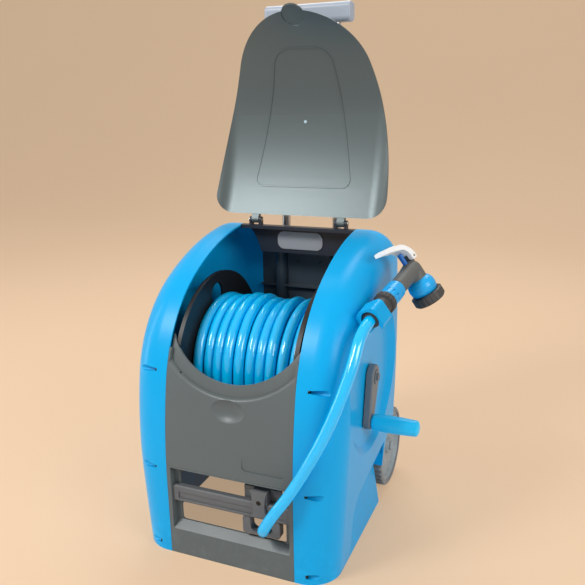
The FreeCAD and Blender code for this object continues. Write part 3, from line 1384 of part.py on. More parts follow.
NODES = {
    "side_shell_right": side_shell,
    "side_shell_left": lambda: mirrored(side_shell()),
    "case_screws": case_screws,
    "front_panel": front_panel,
    "guide_rail": guide_rail,
    "guide_plate": guide_plate,
    "guide_eye": guide_eye,
    "guide_screw": guide_screw,
    "back_panel": back_panel,
    "header_box": header_box,
    "hinge_pins": hinge_pins,
    "grip_pocket": grip_pocket,
    "upper_handle_guide": lambda: handle_guide(*UPPER_GUIDE_Z, TUBE_RADIUS + RUN_CLEAR),
    "lower_handle_guide": lambda: handle_guide(*LOWER_GUIDE_Z, PLUG_RADIUS + SLIDE_GAP),
    "rear_screws": rear_screws,
    "lid": lid,
    "reel_flange_right": reel_flange,
    "reel_flange_left": lambda: mirrored(reel_flange()),
    "reel_drum": reel_drum,
    "drum_elbow": drum_elbow,
    "hose_core": hose_core,
    "hose_winding": hose_winding,
    "hose_tail": hose_tail,
    "shaft_bush": shaft_bush,
    "crank_shaft": crank_shaft,
    "crank_arm": crank_arm,
    "crank_screw": crank_screw,
    "crank_pin": crank_pin,
    "crank_grip": crank_grip,
    "grip_cap": grip_cap,
    "water_inlet": water_inlet,
    "inlet_nut": inlet_nut,
    "wheel_tyre_right": wheel_tyre,
    "wheel_tyre_left": lambda: mirrored(wheel_tyre()),
    "wheel_hub_right": wheel_hub,
    "wheel_hub_left": lambda: mirrored(wheel_hub()),
    "wheel_cap_right": wheel_cap,
    "wheel_cap_left": lambda: mirrored(wheel_cap()),
    "wheel_axle": wheel_axle,
    "handle_tube_left": lambda: handle_tube(-1),
    "handle_tube_right": lambda: handle_tube(1),
    "grip_bar": grip_bar,
    "tube_plugs": tube_plugs,
    "hose_connector": hose_connector,
    "gun_collar": gun_collar,
    "flow_ring": flow_ring,
    "gun_body": gun_body,
    "valve_plunger": valve_plunger,
    "trigger": trigger,
    "trigger_pin": trigger_pin,
    "spray_head": spray_head,
    "spray_dial": spray_dial,
    "nozzle_clip": nozzle_clip,
}

os.makedirs("parts", exist_ok=True)
for name, make in NODES.items():
    shape = make()
    good = shape.isValid()
    print(f"{name}: {len(shape.Solids)} solid, volume {shape.Volume / 1000:.1f} cm3, valid {good}")
    shape.exportStep(f"parts/{name}.step")
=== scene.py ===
# %% [markdown]
# # A hose reel cart
# The cart is a moulded case on two wheels. Inside it a crank turns a reel of garden hose, and the
# hose runs out under a sliding guide to a spray gun that hangs on the side. The solid model comes
# in as a fixed frame. This lesson gives every solid its finish, replaces the hose by a real one,
# and sets the camera and the light of the photograph.

import bpy
import numpy as np
from mathutils import Matrix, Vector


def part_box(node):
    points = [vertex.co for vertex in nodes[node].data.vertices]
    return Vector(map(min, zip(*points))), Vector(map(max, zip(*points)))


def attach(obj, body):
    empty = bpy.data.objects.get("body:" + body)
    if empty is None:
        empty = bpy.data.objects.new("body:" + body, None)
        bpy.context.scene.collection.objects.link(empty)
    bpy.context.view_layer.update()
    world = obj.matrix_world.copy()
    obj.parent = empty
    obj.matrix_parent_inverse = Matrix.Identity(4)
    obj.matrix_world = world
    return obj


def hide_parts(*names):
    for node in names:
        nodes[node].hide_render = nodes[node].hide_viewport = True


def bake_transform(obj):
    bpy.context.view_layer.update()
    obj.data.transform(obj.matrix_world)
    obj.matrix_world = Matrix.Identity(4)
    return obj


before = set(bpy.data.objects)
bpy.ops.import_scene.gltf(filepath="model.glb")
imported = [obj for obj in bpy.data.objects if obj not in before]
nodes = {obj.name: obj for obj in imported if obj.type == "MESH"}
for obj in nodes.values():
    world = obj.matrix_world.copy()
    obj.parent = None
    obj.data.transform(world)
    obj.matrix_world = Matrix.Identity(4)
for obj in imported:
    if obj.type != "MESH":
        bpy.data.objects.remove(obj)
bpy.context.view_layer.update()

# %% [markdown]
# ## The camera
# The photograph was taken from the crank side, a little above the lid's hinge. A camera could be
# turned by eye until the picture fits, but that takes many tries. Here its place, turn and lens
# were worked out from the case's symmetric pairs of corners, so they are written as numbers. The
# camera's three axes, right, up and back, follow from the azimuth, the elevation and a small roll.

# %% Camera at the photograph's place
AZIMUTH, ELEVATION, ROLL = np.radians((23.603, 15.409, -1.413))
EYE = (0.46827, -0.85654, 0.72034)
FOCAL_PX, FRAME_PX = 714.4, 585
SHIFT_PX = (13.74, -3.71)


def add_object(name, data):
    """Object with its data, put into the scene."""
    made = bpy.data.objects.new(name, data)
    bpy.context.scene.collection.objects.link(made)
    return made


def set_pose(thing, axes, spot):
    """Put an object at a spot, with its own axes as columns."""
    pose = np.eye(4)
    pose[:3, :3] = axes
    pose[:3, 3] = spot
    thing.matrix_world = Matrix(pose.tolist())


def camera_turn(azimuth, elevation, roll):
    """Axes of the camera as columns: right lies level, back points up by the elevation, and the
    roll turns right and up about back."""
    right = np.array([np.cos(azimuth), np.sin(azimuth), 0.0])
    flat = np.cos(elevation)
    back = np.array([np.sin(azimuth) * flat, -np.cos(azimuth) * flat, np.sin(elevation)])
    up = np.cross(back, right)
    rolled_right = np.cos(roll) * right + np.sin(roll) * up
    rolled_up = np.cos(roll) * up - np.sin(roll) * right
    return np.stack([rolled_right, rolled_up, back], axis=1)


lens = bpy.data.cameras.new("camera")
lens.lens = lens.sensor_width * FOCAL_PX / FRAME_PX
lens.shift_x, lens.shift_y = (shift / FRAME_PX for shift in SHIFT_PX)
camera = add_object("camera", lens)
set_pose(camera, camera_turn(AZIMUTH, ELEVATION, ROLL), EYE)
bpy.context.scene.camera = camera
print("lens:", round(lens.lens, 2), "mm")

# %% [markdown]
# ## Shader maths as Python
# A finish is a small network of nodes. It could be drawn by hand in the shader editor, but then
# nobody can read it as maths or use it again with other numbers. So one class wraps a socket:
# adding, subtracting and multiplying such fields adds Math nodes, and its node method adds any
# other node with its settings and its inputs. The Mix node has sockets for every kind of value,
# all of the same name, so those for colours are given by their places.

# %% Fields
MIX_COLOURS, MIX_RESULT = (6, 7), 2


class Field:
    """A value that varies over a surface: one output socket of a material's nodes."""

    def __init__(self, tree, socket=None):
        self.tree, self.socket = tree, socket

    def node(self, kind, settings=None, out=0, inputs=None):
        """Add a node: settings first, then a number, colour or field for each input, by name or
        by place."""
        made = self.tree.nodes.new(kind)
        for key, value in (settings or {}).items():
            setattr(made, key, value)
        for key, value in (inputs or {}).items():
            if isinstance(value, Field):
                self.tree.links.new(value.socket, made.inputs[key])
            else:
                made.inputs[key].default_value = value
        return Field(self.tree, made.outputs[out])

    def math(self, operation, *terms):
        """Math node whose inputs are the terms, in their order."""
        return self.node("ShaderNodeMath", {"operation": operation}, inputs=dict(enumerate(terms)))

    def __add__(self, other):
        return self.math("ADD", self, other)

    def __sub__(self, other):
        return self.math("SUBTRACT", self, other)

    def __mul__(self, other):
        return self.math("MULTIPLY", self, other)

    def __rsub__(self, other):
        return self.math("SUBTRACT", other, self)

    __radd__ = __add__
    __rmul__ = __mul__

    def sine(self):
        return self.math("SINE", self)

    def band(self, low, high):
        """Smooth step: 0 below low and 1 above high. It falls where low is the larger of them."""
        rises = low < high
        ends = {"From Min": min(low, high), "From Max": max(low, high)}
        ends.update({"To Min": float(not rises), "To Max": float(rises), "Value": self})
        return self.node("ShaderNodeMapRange", {"interpolation_type": "SMOOTHSTEP"}, inputs=ends)

    def between(self, low, high):
        """Colour from low to high as this field goes from 0 to 1."""
        inputs = {0: self, **dict(zip(MIX_COLOURS, (low, high)))}
        return self.node("ShaderNodeMix", {"data_type": "RGBA"}, out=MIX_RESULT, inputs=inputs)

    def bump(self, distance, strength):
        """Normal of a surface raised by this field times a distance in metres."""
        inputs = {"Height": self, "Distance": distance, "Strength": strength}
        return self.node("ShaderNodeBump", inputs=inputs)


print("a field can be added, subtracted and multiplied, and has these methods:")
print(*(key for key in vars(Field) if not key.startswith("_")))


# %% Places, noise and finishes
def place(field, kind="Object"):
    """Where on the part a point lies, in metres, or its place on the surface's own map."""
    return field.node("ShaderNodeTexCoord", out=kind)


def axis(at, letter):
    """One coordinate of a place."""
    return at.node("ShaderNodeSeparateXYZ", out=letter, inputs={"Vector": at})


def stretched(at, scale):
    """Place scaled along each axis, so that noise on it runs in lines along the least of them."""
    return at.node("ShaderNodeMapping", inputs={"Vector": at, "Scale": scale})


def noise(at, scale, detail=2.0, rough=0.5):
    """Cloudy field about one half: detail adds finer waves, and rough says how strong they are."""
    inputs = {"Vector": at, "Scale": scale, "Detail": detail, "Roughness": rough}
    return at.node("ShaderNodeTexNoise", inputs=inputs)


def near(at, spot):
    """Distance from a spot, in metres."""
    settings = {"operation": "DISTANCE"}
    return at.node("ShaderNodeVectorMath", settings, out="Value", inputs={0: at, 1: spot})


def finish(name, build, **fixed):
    """Material: even values go straight on the shader, varied ones come from a function of
    fields."""
    material = bpy.data.materials.new(name)
    material.use_nodes = True
    tree = material.node_tree
    shader = tree.nodes["Principled BSDF"]
    for key, value in fixed.items():
        shader.inputs[key.replace("_", " ")].default_value = value
    for key, field in build(Field(tree)).items():
        tree.links.new(field.socket, shader.inputs[key])
    return material


def linear(red, green, blue):
    """Linear colour from the 0 to 255 numbers of a picture."""
    c = np.array([red, green, blue]) / 255.0
    c = np.where(c <= 0.04045, c / 12.92, ((c + 0.055) / 1.055) ** 2.4)
    return (*c.tolist(), 1.0)


def shade(colour, factor):
    """Colour made darker or paler by a factor, and never brighter than white."""
    return (*(min(1.0, c * factor) for c in colour[:3]), 1.0)


def shades(colour, *factors):
    """Shades of one colour, one for each factor."""
    return (shade(colour, factor) for factor in factors)


print("mid grey as linear light:", round(linear(128, 128, 128)[0], 3))

# %% [markdown]
# ## Moulded plastics
# Nearly everything here is injection moulded. Such a skin is never quite even: the colour drifts a
# little over a hand's breadth, a fine grain breaks the gloss, and handling leaves faint hair
# scratches that show only in the roughness. Dust and scuffs gather near the floor. Pictures of
# plastic could be wrapped round each solid, but they need maps and show seams. Noise in space has
# neither, so one function makes all of these from noise, with its own numbers for each piece.
#
# A scale is in waves per metre. A band gives the two values of a field between which a mark
# appears.

# %% Moulded skins
WHITE = (1.0, 1.0, 1.0, 1.0)
NOISE_MEAN = 0.5
DRIFT_SCALE = 7.0
GRAIN_STRENGTH, GRAIN_ROUGH = 0.6, 0.12
HAIR_STRETCH, HAIR_SCALE, HAIR_BAND, HAIR_ROUGH = (40.0, 40.0, 6.0), 9.0, (0.60, 0.72), 0.10
DUST_HEIGHT, DUST_SCALE, DUST_BAND = (0.10, 0.0), 55.0, (0.45, 0.70)
DUST_ROUGH, DUST_PALE = 0.25, 1.6
# Painted highlight on the gate's raised mark: its rim, and how many times paler than the plastic it
# is painted.
GATE_HIGHLIGHT_RIM, GATE_HIGHLIGHT_PALE = (0.0034, 0.0022), 8.0


def moulded(name, colour, rough, grain, size, drift=0.10, scuffs=0.0, gloss=0.4, gate=None,
            tint=WHITE):
    """Colour drift from a broad noise, grain bump from a fine one, hair scratches, scuffs that
    fade out with height, and a painted highlight on the raised mark at the mould's gate."""

    def build(f):
        at = place(f)
        fine = noise(at, size, rough=0.6)
        streaks = noise(stretched(at, HAIR_STRETCH), HAIR_SCALE, detail=4.0, rough=0.7)
        hairs = streaks.band(*HAIR_BAND)
        specks = noise(at, DUST_SCALE, detail=5.0, rough=0.7).band(*DUST_BAND)
        dust = axis(at, "Z").band(*DUST_HEIGHT) * specks
        broad = noise(at, DRIFT_SCALE, detail=3.0)
        base = broad.between(*shades(colour, 1.0 - drift, 1.0 + drift))
        base = (dust * scuffs).between(base, shade(colour, DUST_PALE))
        # Painted highlight: the gate's raised mark is painted far paler than the plastic, standing
        # in for its glint.
        if gate:
            base = near(at, gate).band(*GATE_HIGHLIGHT_RIM).between(base, shade(colour, GATE_HIGHLIGHT_PALE))
        uneven = (fine - NOISE_MEAN) * GRAIN_ROUGH + hairs * HAIR_ROUGH
        return {
            "Base Color": base,
            "Roughness": rough + uneven + dust * (DUST_ROUGH * scuffs),
            "Normal": fine.bump(grain, GRAIN_STRENGTH),
        }

    return finish(name, build, Specular_IOR_Level=gloss, Specular_Tint=tint)


print("dust fades out at a height of", DUST_HEIGHT[0], "m")

# %% [markdown]
# The table gives each finish its colour, its roughness, the height of its grain in metres and the
# scale of that grain, and then whatever is not as usual. The lid's gloss is cool, and a painted
# highlight sits on the raised mark of its gate in the middle of its inner face.

# %% Table of plastics
# Spot of the lid's gate, where the painted highlight sits.
LID_GATE = (0.0, 0.3513, 0.6684)
COOL = (0.84, 1.0, 1.03, 1.0)
LID_GLOSS = {"gloss": 1.0, "gate": LID_GATE, "tint": COOL}
PLASTICS = {
    "case_blue": ((5, 160, 218), 0.30, 5e-5, 900.0, {"drift": 0.05, "scuffs": 0.35, "gloss": 0.20}),
    "panel_grey": ((89, 97, 98), 0.38, 1.2e-4, 1100.0, {"drift": 0.05, "scuffs": 0.35}),
    "lid_grey": ((60, 71, 75), 0.40, 3e-5, 800.0, {"drift": 0.06, **LID_GLOSS}),
    "rail_grey": ((96, 98, 100), 0.48, 1e-4, 1200.0, {}),
    "back_black": ((33, 42, 54), 0.40, 1e-4, 1000.0, {"drift": 0.15}),
    "wall_black": ((62, 72, 80), 0.36, 1e-4, 1000.0, {"drift": 0.15}),
    "pocket_grey": ((148, 151, 155), 0.40, 1e-4, 1200.0, {"drift": 0.05}),
    "reel_black": ((23, 24, 27), 0.42, 1e-4, 1200.0, {"drift": 0.15}),
    "crank_grey": ((102, 110, 117), 0.42, 1e-4, 1300.0, {}),
    "grip_blue": ((20, 190, 240), 0.34, 8e-5, 1400.0, {"drift": 0.05}),
    "wheel_grey": ((142, 152, 156), 0.46, 1.2e-4, 1000.0, {"scuffs": 0.4}),
    "tyre_grey": ((124, 127, 129), 0.58, 2e-4, 900.0, {"scuffs": 0.6}),
    "bar_silver": ((157, 166, 178), 0.38, 8e-5, 1300.0, {"drift": 0.05}),
    "gun_grey": ((92, 94, 92), 0.50, 1.2e-4, 1500.0, {}),
    "gun_black": ((62, 62, 62), 0.50, 1.2e-4, 1500.0, {}),
    "gun_blue": ((20, 158, 220), 0.28, 6e-5, 1400.0, {"drift": 0.05}),
    "trigger_white": ((242, 241, 238), 0.36, 6e-5, 1500.0, {"drift": 0.03}),
    "plunger_blue": ((22, 104, 186), 0.32, 6e-5, 1500.0, {"drift": 0.05}),
    "inlet_grey": ((122, 124, 124), 0.45, 1e-4, 1300.0, {}),
}
skins = {}
for name, (picture_colour, rough, grain, size, unusual) in PLASTICS.items():
    skins[name] = moulded(name, linear(*picture_colour), rough, grain, size, **unusual)
print("moulded finishes:", len(skins))

# %% [markdown]
# ## Metals
# The handle's tubes are drawn aluminium, so their polish runs along the tube. The pins, the crank's
# shaft and the axle are turned steel, and the screws are blackened. The shader has a setting for
# brushed metal, but the lines themselves show here, so a stretched noise breaks the roughness into
# fine lines.

# %% Drawn tube and turned steel
LINE_SCALE, LINE_ROUGH, LINE_HEIGHT, LINE_STRENGTH = 60.0, 0.25, 8e-5, 0.5
CLOUD_SCALE, CLOUD_SHADES = 25.0, (0.85, 1.08)


def metal(name, colour, rough, stretch):
    """Metal with brush lines: noise on coordinates stretched along the way of the polish."""

    def build(f):
        at = place(f)
        lines = noise(stretched(at, stretch), LINE_SCALE, detail=3.0, rough=0.6)
        cloud = noise(at, CLOUD_SCALE, detail=3.0)
        return {
            "Base Color": cloud.between(*shades(colour, *CLOUD_SHADES)),
            "Roughness": rough + (lines - NOISE_MEAN) * LINE_ROUGH,
            "Normal": lines.bump(LINE_HEIGHT, LINE_STRENGTH),
        }

    return finish(name, build, Metallic=1.0)


METALS = {
    "tube_aluminium": ((196, 200, 204), 0.30, (30.0, 30.0, 1.0)),
    "turned_steel": ((188, 188, 186), 0.28, (2.0, 30.0, 30.0)),
    "screw_black": ((58, 58, 60), 0.36, (30.0, 30.0, 30.0)),
}
for name, (picture_colour, rough, stretch) in METALS.items():
    skins[name] = metal(name, linear(*picture_colour), rough, stretch)
print("metals:", len(METALS))

# %% [markdown]
# ## Who wears what
# A finish could be set solid by solid, but a list by finish shows at a glance which pieces come
# from the same plastic. The three solids of the hose are missing from this list, because other
# surfaces stand for them further down.

# %% Dress the solids
WEARS = {
    "case_blue": "side_shell_right side_shell_left nozzle_clip",
    "panel_grey": "front_panel",
    "pocket_grey": "grip_pocket",
    "lid_grey": "lid",
    "rail_grey": "guide_rail guide_plate guide_eye",
    "back_black": "header_box upper_handle_guide lower_handle_guide",
    "wall_black": "back_panel",
    "reel_black": "reel_flange_right reel_flange_left reel_drum drum_elbow shaft_bush",
    "crank_grey": "crank_arm crank_screw",
    "grip_blue": "crank_grip grip_cap",
    "wheel_grey": "wheel_hub_right wheel_hub_left wheel_cap_right wheel_cap_left",
    "tyre_grey": "wheel_tyre_right wheel_tyre_left",
    "bar_silver": "grip_bar tube_plugs",
    "gun_grey": "gun_body",
    "gun_black": "hose_connector gun_collar spray_dial",
    "gun_blue": "spray_head flow_ring",
    "trigger_white": "trigger",
    "plunger_blue": "valve_plunger",
    "inlet_grey": "water_inlet inlet_nut",
    "tube_aluminium": "handle_tube_left handle_tube_right",
    "turned_steel": "hinge_pins crank_pin crank_shaft wheel_axle trigger_pin",
    "screw_black": "case_screws rear_screws guide_screw",
}


def dress(node, material):
    """Give a solid its finish in all of its slots."""
    for slot in nodes[node].material_slots:
        slot.material = material


for skin, worn_by in WEARS.items():
    for node in worn_by.split():
        dress(node, skins[skin])
print("dressed:", sum(len(worn_by.split()) for worn_by in WEARS.values()))

# %% [markdown]
# ## The hose
# A garden hose is a thick soft tube with a glossy skin. The skin has very fine lines along its
# length from the die that it was drawn through, and the knitted yarn under it shows faintly as a
# diamond pattern. A pattern in space would cut straight through the bends, so the finish reads the
# tube's own map: X runs along the hose in metres, and Y goes once from 0 to 1 around it. The waves
# are in radians for one unit of the map.

# %% Hose finish
DIE_WAVES = 251.0
YARN_ALONG, YARN_AROUND = 900.0, 50.265
YARN_BAND, YARN_DARK, YARN_SHOWS = (-0.9, 0.9), 0.62, 0.10
HUE_SCALE, HUE_SHADES = 22.0, (0.90, 1.08)
SKIN_SCALE, SKIN_ROUGH, SKIN_UNEVEN, SKIN_GLOSS = 130.0, 0.05, 0.06, 0.8
LUMP_SCALE = 45.0
DIE_RISE, YARN_RISE, LUMP_RISE = 0.01, 0.3, 0.4
RELIEF, RELIEF_STRENGTH = 0.00018, 0.7


def hose_skin(name, colour):
    """Gloss tube: die lines run along it, and a faint diamond of yarn lies under the skin."""

    def build(f):
        at, uv = place(f), place(f, "UV")
        along, around = axis(uv, "X") * YARN_ALONG, axis(uv, "Y")
        lines = (around * DIE_WAVES).sine()
        left = (along + around * YARN_AROUND).sine()
        right = (along - around * YARN_AROUND).sine()
        yarn = (left * right).band(*YARN_BAND)
        base = noise(at, HUE_SCALE, detail=3.0).between(*shades(colour, *HUE_SHADES))
        worn = noise(at, SKIN_SCALE, detail=4.0, rough=0.7)
        relief = lines * DIE_RISE + yarn * YARN_RISE + noise(at, LUMP_SCALE) * LUMP_RISE
        return {
            "Base Color": (yarn * YARN_SHOWS).between(base, shade(colour, YARN_DARK)),
            "Roughness": SKIN_ROUGH + worn * SKIN_UNEVEN,
            "Normal": relief.bump(RELIEF, RELIEF_STRENGTH),
        }

    return finish(name, build, Specular_IOR_Level=SKIN_GLOSS)


skins["hose_blue"] = hose_skin("hose_blue", linear(3, 187, 245))
print("finishes:", len(skins))

# %% [markdown]
# ## Surfaces from two parameters
# Every new piece is a grid of points worked out at once with numpy. One helper turns such a grid
# into a mesh, with its faces, its map and closed ends. The tube is the most useful surface: a
# circle carried along a path. A curve with a round bevel could make it too, but a grid gives the
# map in metres and can be parted at any row.

# %% Grids to meshes
FULL_TURN = 2 * np.pi
TUBE_SIDES = 24


def grid_piece(name, points, uv, around=True, caps=True, wrap=(0.0, 1.0), loop=None):
    """Mesh of a grid of points, rows along and columns around. Caps close its two ends with one
    face each, or a loop joins the last row to the first. Wrap and loop are the map's steps where
    the grid meets itself."""
    rows, columns = points.shape[:2]
    index = np.arange(rows * columns).reshape(rows, columns)
    ends = [index[0, ::-1].tolist(), index[-1].tolist()] if caps and not loop else []
    index = np.concatenate([index, index[:1]]) if loop else index
    right = np.roll(index, -1, axis=1) if around else index[:, 1:]
    left = index if around else index[:, :-1]
    quads = np.stack([left[:-1], right[:-1], right[1:], left[1:]], axis=-1)
    flat = uv.reshape(-1, 2)
    corners = flat[quads]
    if around:
        corners[:, -1, 1:3] += wrap
    if loop:
        corners[-1, :, 2:4] += loop
    faces = quads.reshape(-1, 4).tolist()
    rims = flat[np.array(ends, dtype=int).ravel()]
    full_map = np.concatenate([corners.reshape(-1, 2), rims]).astype(np.float32)
    mesh = bpy.data.meshes.new(name)
    mesh.from_pydata(points.reshape(-1, 3).tolist(), [], faces + ends)
    mesh.uv_layers.new(name="UVMap").data.foreach_set("uv", full_map.ravel())
    mesh.polygons.foreach_set("use_smooth", np.arange(len(mesh.polygons)) < len(faces))
    mesh.update()
    print(name, "faces:", len(mesh.polygons))
    return add_object(name, mesh)


def side_by_side(*fields):
    """Arrays of rows and columns spread over one grid and put side by side as coordinates."""
    return np.stack(np.broadcast_arrays(*fields), axis=-1)


def unit(v):
    """Vectors of the same way, each of length 1."""
    return v / np.linalg.norm(v, axis=-1, keepdims=True)


def run_length(path):
    """Distance along a path from its first point, at each point."""
    return np.concatenate([[0.0], np.cumsum(np.linalg.norm(np.diff(path, axis=0), axis=1))])


def tube_grid(path, radius, sides=TUBE_SIDES, level=(1.0, 0.0, 0.0)):
    """Circle carried along a path: its first radius is square to the path and to a fixed way, the
    second is square to both the path and the first."""
    way = unit(np.gradient(path, axis=0))
    first = unit(np.cross(way, np.asarray(level)))
    second = np.cross(way, first)
    turn = np.linspace(0.0, FULL_TURN, sides, endpoint=False)
    cosine, sine = np.cos(turn)[None, :, None], np.sin(turn)[None, :, None]
    points = path[:, None] + radius * (cosine * first[:, None] + sine * second[:, None])
    return points, side_by_side(run_length(path)[:, None], (turn / FULL_TURN)[None])


print("sides of a tube:", TUBE_SIDES)

# %% [markdown]
# ## The free hose
# The hose leaves the reel at the front, drops behind the front panel, passes through the guide's
# eye under the rail and climbs the corner of the case to the gun. Straight runs with arcs between
# them would show where they meet, and a hose is one smooth line. So the route's points steer a
# spline, and the tube follows the spline.

# %% Route of the free hose
HOSE_RADIUS = 0.0085
TAIL_ROUTE = 0.001 * np.array([
    (62.26, 74.62, 259.61), (63.37, 74.9, 219.63), (62.6, 67.0, 180.0), (60.5, 57.0, 143.0),
    (59.5, 44.0, 110.0), (59.0, 24.0, 85.0), (60.0, -1.0, 77.5), (66.0, -19.0, 91.0),
    (84.0, -20.0, 122.0), (109.0, -14.0, 158.0), (136.0, -12.0, 206.0), (160.0, -3.0, 256.0),
    (178.0, 11.0, 306.0), (189.0, 34.0, 352.0), (191.03, 64.54, 391.91), (196.0, 93.0, 400.0),
])


def spline_points(name, route):
    """Points along a smooth spline that a route steers, read from a curve with no thickness."""
    curve = bpy.data.curves.new(name, "CURVE")
    curve.dimensions = "3D"
    spline = curve.splines.new("NURBS")
    spline.points.add(len(route) - 1)
    spline.points.foreach_set("co", np.c_[route, np.ones(len(route))].ravel())
    spline.order_u = 3
    spline.use_endpoint_u = True
    spline.resolution_u = 12
    line = bpy.data.objects.new(name, curve)
    mesh = bpy.data.meshes.new_from_object(line)
    points = np.empty(3 * len(mesh.vertices))
    mesh.vertices.foreach_get("co", points)
    bpy.data.meshes.remove(mesh)
    bpy.data.objects.remove(line)
    bpy.data.curves.remove(curve)
    return points.reshape(-1, 3)


tail_path = spline_points("tail_line", TAIL_ROUTE)
tail_grid, tail_map = tube_grid(tail_path, HOSE_RADIUS, sides=28)
eye_row = int(np.argmin(tail_path[:, 2]))
tail_length = float(run_length(tail_path)[-1])
print("free hose:", round(tail_length, 3), "m, in the eye after", eye_row, "rows")

# %% [markdown]
# The guide slides along its rail and takes the hose with it, while the reel and the gun stay. So
# the one tube is parted in the eye into two pieces.


# %% Two runs of the free hose
def hose_piece(name, grid, grid_map, **closing):
    """Piece of hose from a grid, with the hose's finish."""
    piece = grid_piece(name, grid, grid_map, **closing)
    piece.data.materials.append(skins["hose_blue"])
    return piece


def hose_run(name, rows):
    """Rows of the tube's grid as a closed piece, in place of the plain solid of the free hose."""
    piece = hose_piece(name, tail_grid[rows], tail_map[rows])
    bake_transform(piece)
    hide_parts("hose_tail")


hose_run(
    "hose_to_eye", slice(0, eye_row + 1),
)
hose_run(
    "hose_to_gun", slice(eye_row, None),
)

# %% [markdown]
# ## The wound hose
# On the drum the turns lie side by side, but a hand winds them, so the layer swells and sinks a
# little across the drum and each turn wavers. A row of rings would be simpler, but then no turn
# leads on to the next. So the outer layer is one tube on a helix whose two ends dive into the
# layers under it. Turns are counted from the front of the drum, where whole numbers lie.

# %% Outer layer of turns
AXIS_Y, AXIS_Z = 0.180, 0.277
PITCH, FIRST_X, FLANGE_SIDE = 0.0182, -0.0838, -0.0862
LAYER, SWELL, SWELL_LENGTH, SWELL_SHIFT = 0.106, 0.0035, 0.080, 0.012
WAVER_OUT, WAVER_SIDE = (0.0005, 1.7), (0.0002, 2.3)
WOUND_TURNS, WOUND_ROWS, LEVEL_TURN = (-0.6, 7.25), 566, 7.0
DIVE_DEPTH, DIVE_FIRST, DIVE_LAST = 2.2 * HOSE_RADIUS, 0.15, 0.25


def about_axis(x, radius, angle):
    """Points at a radius from the reel's axis, at an angle from the back of the case."""
    return side_by_side(x, AXIS_Y + radius * np.cos(angle), AXIS_Z + radius * np.sin(angle))


def front_angle(turns):
    """Angle of a count of turns that starts at the front, half a turn from the back."""
    return np.pi + FULL_TURN * turns


def dive(share):
    """Drop of the hose's line by a little over its own width: a smooth step that is full at
    share 0 and nothing at share 1."""
    left = np.clip(1.0 - share, 0.0, 1.0)
    return DIVE_DEPTH * left * left * (3.0 - 2.0 * left)


def wave(part, turns):
    """Sine of a height, with a number of waves for each turn."""
    height, waves = part
    return height * np.sin(waves * (FULL_TURN * turns))


def wound_path(turns):
    """Helix with a swell across the drum and a small waver; its ends run level along their
    neighbours and dive."""
    x = np.maximum(FIRST_X + PITCH * np.minimum(turns, LEVEL_TURN), FLANGE_SIDE)
    swell = SWELL * np.cos(FULL_TURN * (x - SWELL_SHIFT) / SWELL_LENGTH)
    radius = LAYER - swell + wave(WAVER_OUT, turns)
    radius = radius - dive((turns - turns[0]) / DIVE_FIRST) - dive((turns[-1] - turns) / DIVE_LAST)
    return about_axis(x + wave(WAVER_SIDE, turns), radius, front_angle(turns))


def on_reel(piece, node):
    """Hose on the drum: it turns with the reel, in place of a plain solid."""
    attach(piece, "reel")
    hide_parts(node)


wound = wound_path(np.linspace(*WOUND_TURNS, WOUND_ROWS))
on_reel(hose_piece("hose_turns", *tube_grid(wound, HOSE_RADIUS)), "hose_winding")

# %% [markdown]
# The free hose leaves the drum from the last turn but one. If that turn were wound as a helix, it
# would cut through the free hose as the reel turns. A smooth ring looks the same at every angle,
# so this turn is a ring that stays with the case. Beside it there is room for one turn more, which
# comes up out of the layer below, goes once round along the right flange and dives again.

# %% Last two turns
RING_ASIDE = 0.0004
RING_X = TAIL_ROUTE[0, 0] - RING_ASIDE
RING_RADIUS = float(np.hypot(TAIL_ROUTE[0, 1] - AXIS_Y, TAIL_ROUTE[0, 2] - AXIS_Z))
RING_STEP = (FULL_TURN * RING_RADIUS, 0.0)
END_X, END_DRIFT, END_ROWS, END_DIVE = 0.0802, 0.0052, 121, 0.12
END_START, END_TURNS = 0.65, 1.2


def ring_grid(x, radius, rows=96, sides=TUBE_SIDES):
    """Circle of the hose's radius carried once round the reel's axis."""
    turn = np.linspace(0.0, FULL_TURN, rows, endpoint=False)[:, None]
    side = np.linspace(0.0, FULL_TURN, sides, endpoint=False)[None]
    out = radius + HOSE_RADIUS * np.cos(side)
    points = about_axis(x - HOSE_RADIUS * np.sin(side), out, turn)
    return points, side_by_side(radius * turn, side / FULL_TURN)


def end_path(share):
    """A little over one turn that moves slowly towards the flange and dives at both ends."""
    radius = LAYER - dive(share / END_DIVE) - dive((1.0 - share) / END_DIVE)
    return about_axis(END_X + END_DRIFT * share, radius, front_angle(END_START + END_TURNS * share))


ring_turn = hose_piece("ring_turn", *ring_grid(RING_X, RING_RADIUS), loop=RING_STEP)
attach(ring_turn, "cart")
end_line = end_path(np.linspace(0.0, 1.0, END_ROWS))
on_reel(hose_piece("end_turn", *tube_grid(end_line, HOSE_RADIUS)), "hose_winding")

# %% [markdown]
# The layers below could be wound turn by turn as well, but they show only between the outer turns.
# So one ridged surface stands for them: its radius is a row of half circles that climbs round the
# drum. Its two ends sink like a rounded edge and go down to the drum, where a sleeve joins them.

# %% Layers below
CORE_LOW, CORE_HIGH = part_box("hose_core")
CORE_X = (CORE_LOW[0], CORE_HIGH[0])
CORE_RADIUS = (CORE_HIGH[2] - CORE_LOW[2]) / 2
CORE_INSET, CORE_SKIN = 0.0004, 0.0002
DRUM_RADIUS = 0.0452
CORE_STEP = (FULL_TURN * CORE_RADIUS, 1.0)


